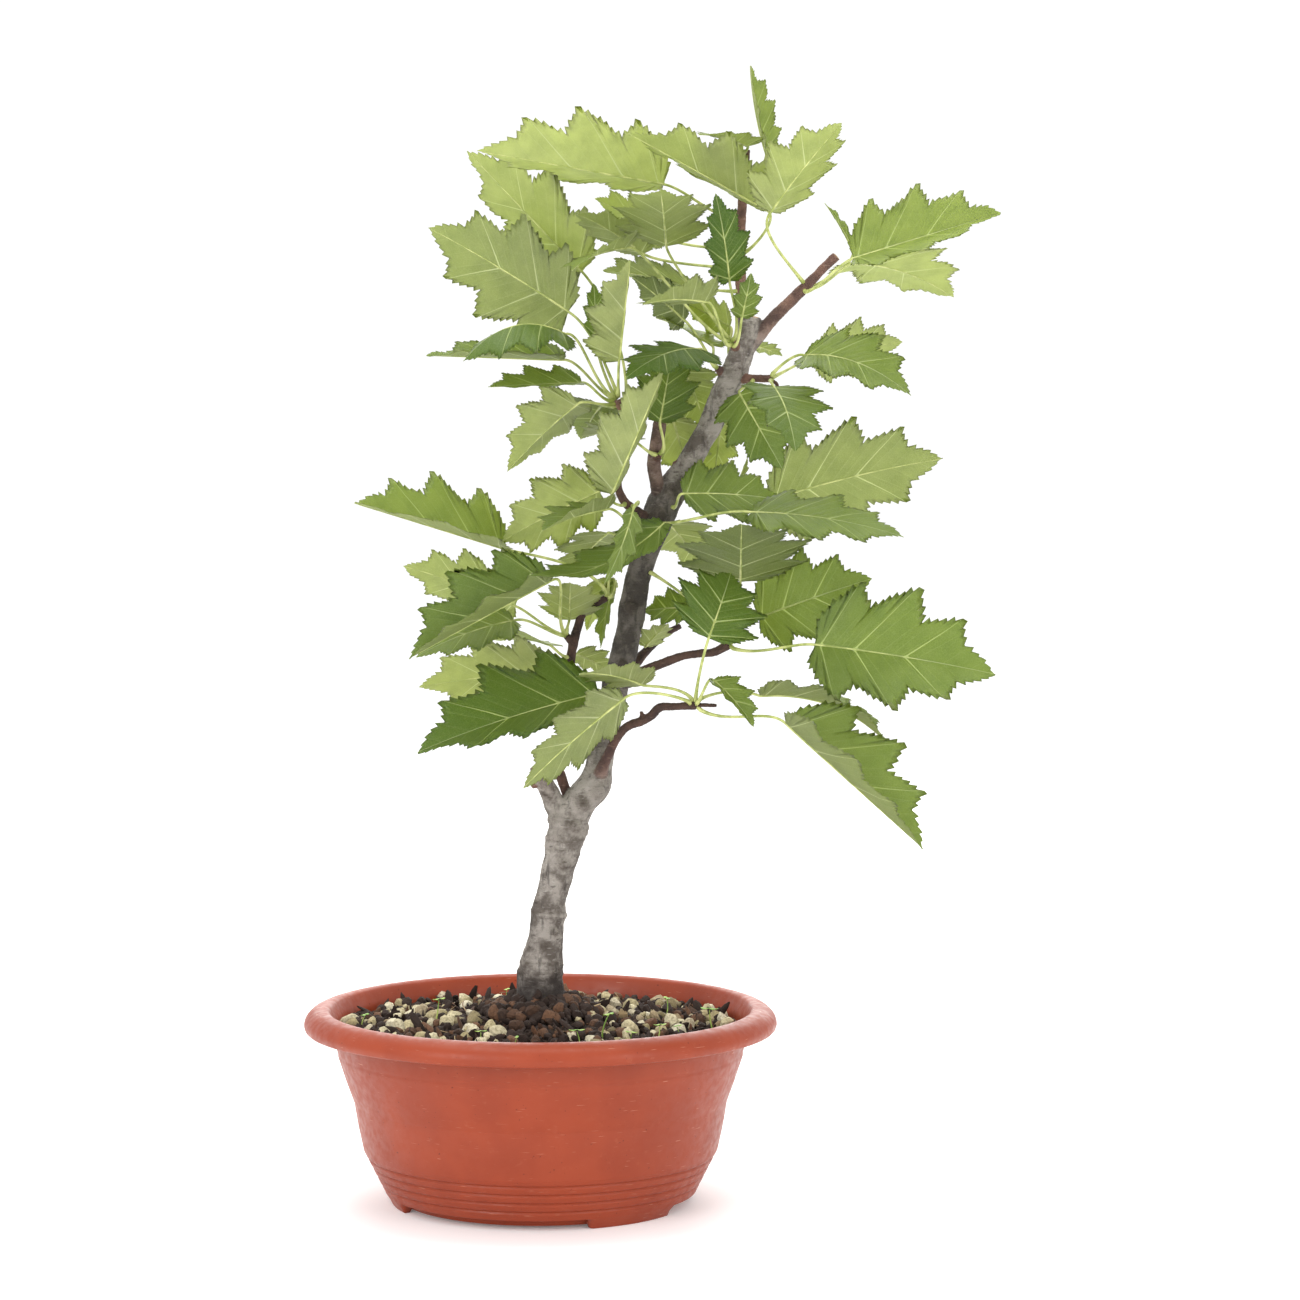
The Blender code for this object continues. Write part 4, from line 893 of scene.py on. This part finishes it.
# Leaves that the CAD model leaves out, because it holds fewer pieces: small ones and ones behind others.
MORE_LEAVES = (
    ((59.5, 0, 380.5), (70, 14, 404), (82, 40, 373), (0.1, 0.85, 0.5), 8, 0.04, 0.95, 0.45),
    ((60.5, 2, 377), (64, 12, 381), (76, 34, 340), (0.1, 0.9, 0.3), 8, 0.03, 0.7, 0.95),
    ((90, 9, 384), (88, 16, 380), (84, 36, 346), (0.1, 0.9, 0.3), 8, 0.03, 0.7, 0.95),
    ((76, 8, 352), (91, 18, 340), (101, 22, 362), (0.6, 0.3, -0.2), 20, 0.03, 0.5, 0.4),
    ((100, 6, 410), (104, 14, 416), (118, 30, 411), (0.0, 0.6, 0.8), 8, 0.03, 0.7, 0.6),
    ((13, 4, 279.5), (14, 8, 283), (15, -26, 303), (0.0, 0.8, 0.5), 8, 0.03, 1.1, 0.8),
    ((32.5, 5, 295.5), (33, 10, 303), (22, 34, 276), (-0.3, 0.8, 0.3), 12, 0.03, 0.6, 0.95),
    ((36, 5, 295), (36, 13, 301), (29, 26, 268), (-0.6, -0.7, 0.2), 30, 0.03, 0.5, 0.35),
    ((53, 14, 269), (51, 8, 270), (62, -6, 282), (-0.4, 0.8, 0.4), 8, 0.03, 1.1, 0.75),
    ((14, 10, 262), (17, 16, 266), (36, 32, 255), (0.2, 0.8, 0.4), 8, 0.03, 0.9, 0.6),
    ((93, -9, 416), (97, -18, 429), (101, -30, 450), (0.2, -0.9, 0.3), 10, 0.03, 0.8, 0.3),
    ((128, -2, 443), (150, -8, 462), (137, -2, 484), (0.6, -0.5, 0.4), 25, 0.03, 0.4, 0.55),
    ((84, 2, 407), (70, 10, 428), (44, 30, 450), (-0.2, 0.7, 0.5), 8, 0.03, 0.8, 0.1),
    ((91, 6, 412), (92, 12, 425), (68, 34, 438), (0.0, 0.8, 0.45), 8, 0.03, 0.9, 0.75),
    ((95, 9, 462), (60, 14, 468), (26, 38, 488), (0.0, 0.7, 0.6), 8, 0.03, 0.8, 0.9),
    ((36, -15, 392), (27, -4, 420), (26, 8, 446), (0.2, -0.8, 0.3), 8, 0.03, 0.6, 0.12),
)
# Half an outline, from the blade's foot to its tip: where a line of the blade leaves the midrib, then
# where it meets the margin, along and across, as shares of the blade's length.
HALF_OUTLINE = (
    (0.000, 0.00, 0.006), (0.004, -0.005, 0.07), (0.012, 0.005, 0.14), (0.022, 0.08, 0.25), (0.03, 0.20, 0.36),
    (0.07, 0.235, 0.30), (0.12, 0.27, 0.235), (0.16, 0.375, 0.30), (0.22, 0.52, 0.37), (0.30, 0.55, 0.28),
    (0.38, 0.56, 0.20), (0.43, 0.65, 0.225), (0.50, 0.78, 0.24), (0.58, 0.795, 0.17), (0.66, 0.81, 0.115),
    (0.82, 0.905, 0.07), (1.0, 1.0, 0.0),
)
LOBE_TIPS = (4, 8, 12)          # rows of HALF_OUTLINE
NOTCHES = (6, 10, 14)
TOOTH_PITCH = 0.042
TOOTH_HEIGHT = 0.026
ACROSS = np.array([0, 0.05, 0.16, 0.32, 0.5, 0.68, 0.85, 1.0])
BLADE_THICKNESS = 0.34 * MM
STALK_RADIUS = 0.72 * MM


def toothed_margin():
    """(u, p, q) at each ring, and the ring numbers of the main veins.

    Between the blade's foot, notches and lobe tips the margin is cut into whole teeth. In each tooth the
    margin steps back at once and then rises evenly towards the lobe's tip.
    """
    rows = np.array(HALF_OUTLINE)
    length = np.concatenate([[0], np.cumsum(np.hypot(*np.diff(rows[:, 1:], axis=0).T))])
    turns = sorted((0, *LOBE_TIPS, *NOTCHES, len(rows) - 1))
    places, rises = [], []
    for start, end in zip(turns[:-1], turns[1:]):
        toward_tip = end in LOBE_TIPS or end == len(rows) - 1
        teeth = max(2, round((length[end] - length[start]) / TOOTH_PITCH))
        for tooth in range(teeth):
            shares = np.array([0.10, 0.4, 0.7, 1.0])
            lifts = np.array([0.0, 0.33, 0.66, 1.0])
            if not toward_tip:
                shares, lifts = 1 - shares[::-1], lifts[::-1]
            places.append(length[start] + (tooth + shares) / teeth * (length[end] - length[start]))
            rises.append(lifts * (0.75 + 0.25 * math.cos(2.4 * tooth)))
    places, rises = np.concatenate(places), np.concatenate(rises)
    margin = np.stack([np.interp(places, length, rows[:, k]) for k in range(3)], axis=-1)
    ahead = np.gradient(margin[:, 1:], axis=0)
    ahead /= np.linalg.norm(ahead, axis=1, keepdims=True)
    outward = np.stack([-ahead[:, 1], ahead[:, 0]], axis=-1)
    outward *= np.sign(outward[:, 1:2] + 1e-9)
    fade = np.clip(places / 0.12, 0, 1) * np.clip((length[-1] - places) / 0.10, 0, 1)
    margin[:, 1:] += outward * (rises * fade * TOOTH_HEIGHT)[:, None]
    veins = [int(np.abs(places - length[tip]).argmin()) for tip in LOBE_TIPS]
    return margin, veins


MARGIN, MAIN_VEINS = toothed_margin()
VEIN_STEP = 9                   # rings between side veins, about two teeth


def clear_of_wood(place_at):
    """Move a stalk's foot straight out to the bark's surface; also give the way out."""
    spot = planted([place_at])[0]
    for _ in range(6):
        way = highs[:, :3] - lows[:, :3]
        share = np.clip(np.einsum("ij,ij->i", spot - lows[:, :3], way) / np.einsum("ij,ij->i", way, way), 0, 1)
        middle = lows[:, :3] + way * share[:, None]
        radius = lows[:, 3] + (highs[:, 3] - lows[:, 3]) * share
        k = int((np.linalg.norm(spot - middle, axis=1) - radius).argmin())
        out = spot - middle[k]
        if np.linalg.norm(out) < 1e-6:   # a foot on the middle line leaves straight upward
            out = np.array([0.0, 0.0, 1.0])
        out = out / np.linalg.norm(out)
        spot = middle[k] + out * (radius[k] + 1.1 * MM)
    return spot, out


def leaf_skin(row, number):
    """Arrays of one leaf: points, quads, triangles, face slots, vein distances and flat coordinates."""
    hint, base, tip, face, fold, arch, width, _ = row
    draw = np.random.default_rng(500 + number)
    foot, outward = clear_of_wood(hint)
    base, tip = planted([base, tip])
    length = np.linalg.norm(tip - base)
    along = (tip - base) / length
    up = np.array(face, float)
    up -= along * (up @ along)
    up /= np.linalg.norm(up)
    left = np.cross(up, along)
    fold = math.radians(fold)
    ripple, phase = draw.uniform(0.006, 0.013), draw.uniform(0, 6.28, 4)
    curl = draw.uniform(-0.05, 0.03)

    def blade(a, b, s, lift):
        rise = arch * 4 * np.maximum(a, 0) * (1 - np.minimum(a, 1))
        side = (b < 0).astype(int)
        wave = ripple * s ** 2 * np.sin(17 * a + phase[side])
        wave += 0.4 * ripple * s ** 3 * np.sin(43 * a + phase[2 + side])
        bend = curl * s ** 2 * np.abs(b)
        height = np.abs(b) * math.sin(fold) + rise + wave + bend + 0.35 * curl * np.maximum(a - 0.6, 0) ** 2
        flat = along * a[..., None] + left * (b * math.cos(fold))[..., None] + up * height[..., None]
        return base + flat * length + up * lift[..., None]

    # Ring: left margin, in over the top to the midrib, out to the right margin, and back underneath.
    inward = ACROSS[::-1]
    share = np.concatenate([inward, ACROSS[1:], inward[1:], ACROSS[1:-1]])
    sign = np.concatenate([np.ones(len(inward)), -np.ones(2 * len(ACROSS) - 2), np.ones(len(ACROSS) - 2)])
    over = np.concatenate([np.ones(2 * len(ACROSS) - 1), -np.ones(2 * len(ACROSS) - 3)])
    u, p, q = MARGIN[:, 0:1], MARGIN[:, 1:2], MARGIN[:, 2:3]
    uneven = 1 + sign * draw.uniform(-0.06, 0.06)
    a = u + (p - u) * share
    b = q * width * share * sign * uneven
    thick = over * (1 - share ** 3) * BLADE_THICKNESS / 2
    s = np.broadcast_to(share, a.shape)
    rings = blade(a, b, s, np.broadcast_to(thick, a.shape))
    around, count = len(share), len(MARGIN)
    tip_end = blade(np.array([1.0]), np.array([0.0]), np.array([0.0]), np.array([0.0]))
    base_end = blade(np.array([-0.004]), np.array([0.0]), np.array([0.0]), np.array([0.0]))
    points = np.concatenate([rings.reshape(-1, 3), base_end, tip_end])
    quads = grid_faces(count, around)
    ring_slots = np.where(np.arange(around) < 2 * len(ACROSS) - 2, 0, 1)
    slots, fan_slots = np.tile(ring_slots, count - 1), np.tile(ring_slots, 2)

    # Distances, in millimetres, from the midrib and main veins (thinner outward) and from the side veins.
    flat = np.stack([a, b], axis=-1) * length / MM
    run = np.cumsum(np.linalg.norm(np.diff(flat, axis=0, prepend=flat[:1]), axis=-1), axis=0)
    main = np.min([np.abs(run - run[k]) for k in MAIN_VEINS], axis=0) / (1.15 - 0.8 * s)
    midrib = np.abs(flat[..., 1]) / (1.3 - a)
    side = np.min([np.abs(run - run[k]) for k in range(4, count - 6, VEIN_STEP)], axis=0) / (1.1 - 0.7 * s)
    rib = np.minimum(main, midrib).reshape(-1)
    rib = np.concatenate([rib, [0, 0]])
    side = np.concatenate([side.reshape(-1), [9, 9]])
    chart = np.concatenate([flat.reshape(-1, 2), [[0, 0], [length / MM, 0]]])

    # Stalk: a Bezier from inside the bark to the blade's foot, then on along the midrib's underside.
    reach = np.linalg.norm(base - foot)
    leave = outward + (base - foot) / reach
    start = foot + leave / np.linalg.norm(leave) * reach * 0.35
    end = base - along * reach * 0.25
    t = np.linspace(0, 1, 22)[:, None]
    stalk = foot * (1 - t) ** 3 + start * 3 * t * (1 - t) ** 2 + end * 3 * t * t * (1 - t) + base * t ** 3
    walk = np.linspace(0.03, 0.97, 26)
    zero = np.zeros_like(walk)
    under = blade(walk, zero, zero, zero - 0.12 * MM)
    line = np.concatenate([[foot - outward * 2.4 * MM], stalk, under])
    taper = np.interp(t[:, 0], [0, 0.12, 0.3, 1], [1.5, 1.15, 0.95, 0.9])
    thickness = np.concatenate([[1.6], taper, 0.85 - 0.68 * walk]) * STALK_RADIUS
    skin, stalk_quads, stalk_fans = tube(line, thickness[:, None], 10)
    offset = len(points)
    points = np.concatenate([points, skin])
    quads = np.concatenate([quads, stalk_quads + offset])
    triangles = np.concatenate([end_fans(count, around), stalk_fans + offset])
    slots = np.concatenate([slots, np.full(len(stalk_quads), 2), fan_slots, np.full(len(stalk_fans), 2)])
    rib = np.concatenate([rib, np.full(len(skin), 9.0)])
    side = np.concatenate([side, np.full(len(skin), 9.0)])
    chart = np.concatenate([chart, np.zeros((len(skin), 2))])
    return points, quads, triangles, slots, rib, side, chart


def leaf_material(name, deep, light, vein, rough, through, depth):
    """Leaf skin: colour by the leaf's tone, partly its own and partly painted shade and painted light, veins drawn
    from stored distances, and light let through.
    """
    material, shader = new_material(name, Roughness=rough, IOR=1.42)
    chart = node(material, "ShaderNodeUVMap", uv_map="blade").outputs[0]
    tone_and_painted_light = attribute(material, "tone_and_painted_light")
    mottle = noise(material, chart, 0.012, detail=5, roughness=0.6)
    # Painted shade and painted light: the tone runs from deep green for leaves in shade to yellow-green for lit
    # leaves, besides the leaf's own colour.
    body = blend_colour(material, tone_and_painted_light, deep, light)
    body = blend_colour(material, smooth_band(material, mottle, 0.35, 0.7, 0.0, 0.35), body, deep)
    cells = {"Vector": chart, "Scale": 900.0}
    net = node(material, "ShaderNodeTexVoronoi", cells, feature="DISTANCE_TO_EDGE").outputs[0]
    net_line = smooth_band(material, net, 0.0, 0.09, 1.0, 0.0)
    rib_line = smooth_band(material, attribute(material, "rib"), 0.22, 0.65, 1.0, 0.0)
    side_line = smooth_band(material, attribute(material, "side"), 0.05, 0.34, 0.22, 0.0)
    lines = math_node(material, "MAXIMUM", rib_line, side_line)
    tone = blend_colour(material, math_node(material, "MULTIPLY", net_line, 0.22), body, vein)
    tone = blend_colour(material, lines, tone, vein)
    link(material, tone, shader, "Base Color")
    swell = smooth_band(material, attribute(material, "side"), 0.0, 2.4)
    raised, sunk = math_node(material, "MULTIPLY", swell, 0.55), math_node(material, "MULTIPLY", lines, 0.6)
    height = math_node(material, "SUBTRACT", raised, sunk)
    height = math_node(material, "ADD", height, math_node(material, "MULTIPLY", net, 0.8))
    add_bump(material, shader, height, depth, 0.8)
    glow = blend_colour(material, 1.0, tone, through, mode="MULTIPLY")
    glow = blend_colour(material, 0.55, glow, through)
    clear = node(material, "ShaderNodeBsdfTranslucent", {"Color": glow})
    mixed = node(material, "ShaderNodeMixShader", {0: 0.5, 1: shader.outputs[0], 2: clear.outputs[0]})
    output = material.node_tree.nodes["Material Output"]
    material.node_tree.links.new(mixed.outputs[0], output.inputs["Surface"])
    return material


upper_side = leaf_material(
    "leaf upper side", colour("2C5519"), colour("A9B468"), colour("B4C088"), 0.42, colour("DCE878"), 0.35 * MM
)
under_side = leaf_material(
    "leaf underside", colour("5F6C45"), colour("BCC284"), colour("D2D6AC"), 0.6, colour("DFE892"), -0.3 * MM
)
stalk_skin, shader = new_material("leaf stalk", Roughness=0.45)
where = object_place(stalk_skin)
shade = smooth_band(stalk_skin, noise(stalk_skin, where, 6 * MM, detail=3), 0.35, 0.65)
link(stalk_skin, blend_colour(stalk_skin, shade, colour("8E9A4C"), colour("BDC27A")), shader, "Base Color")

finishes = (upper_side, under_side, stalk_skin)
for number, row in enumerate(LEAVES + MORE_LEAVES, 1):
    points, quads, triangles, slots, rib, side, chart = leaf_skin(row, number)
    leaf = mesh_piece(f"green_leaf_{number:02d}", points, quads, triangles, finishes, slots=slots)
    store(leaf, "rib", rib)
    store(leaf, "side", side)
    # The stored tone is partly the leaf's own green and partly painted shade and painted light.
    store(leaf, "tone_and_painted_light", np.full(len(points), row[-1]))
    layer = leaf.data.uv_layers.new(name="blade")
    corner_points = np.zeros(len(leaf.data.loops), np.int32)
    leaf.data.loops.foreach_get("vertex_index", corner_points)
    layer.data.foreach_set("uv", (chart[corner_points] * MM).astype(np.float32).reshape(-1))
    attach(leaf, "root")
    if number <= len(LEAVES):
        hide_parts(f"leaf_{number:02d}")
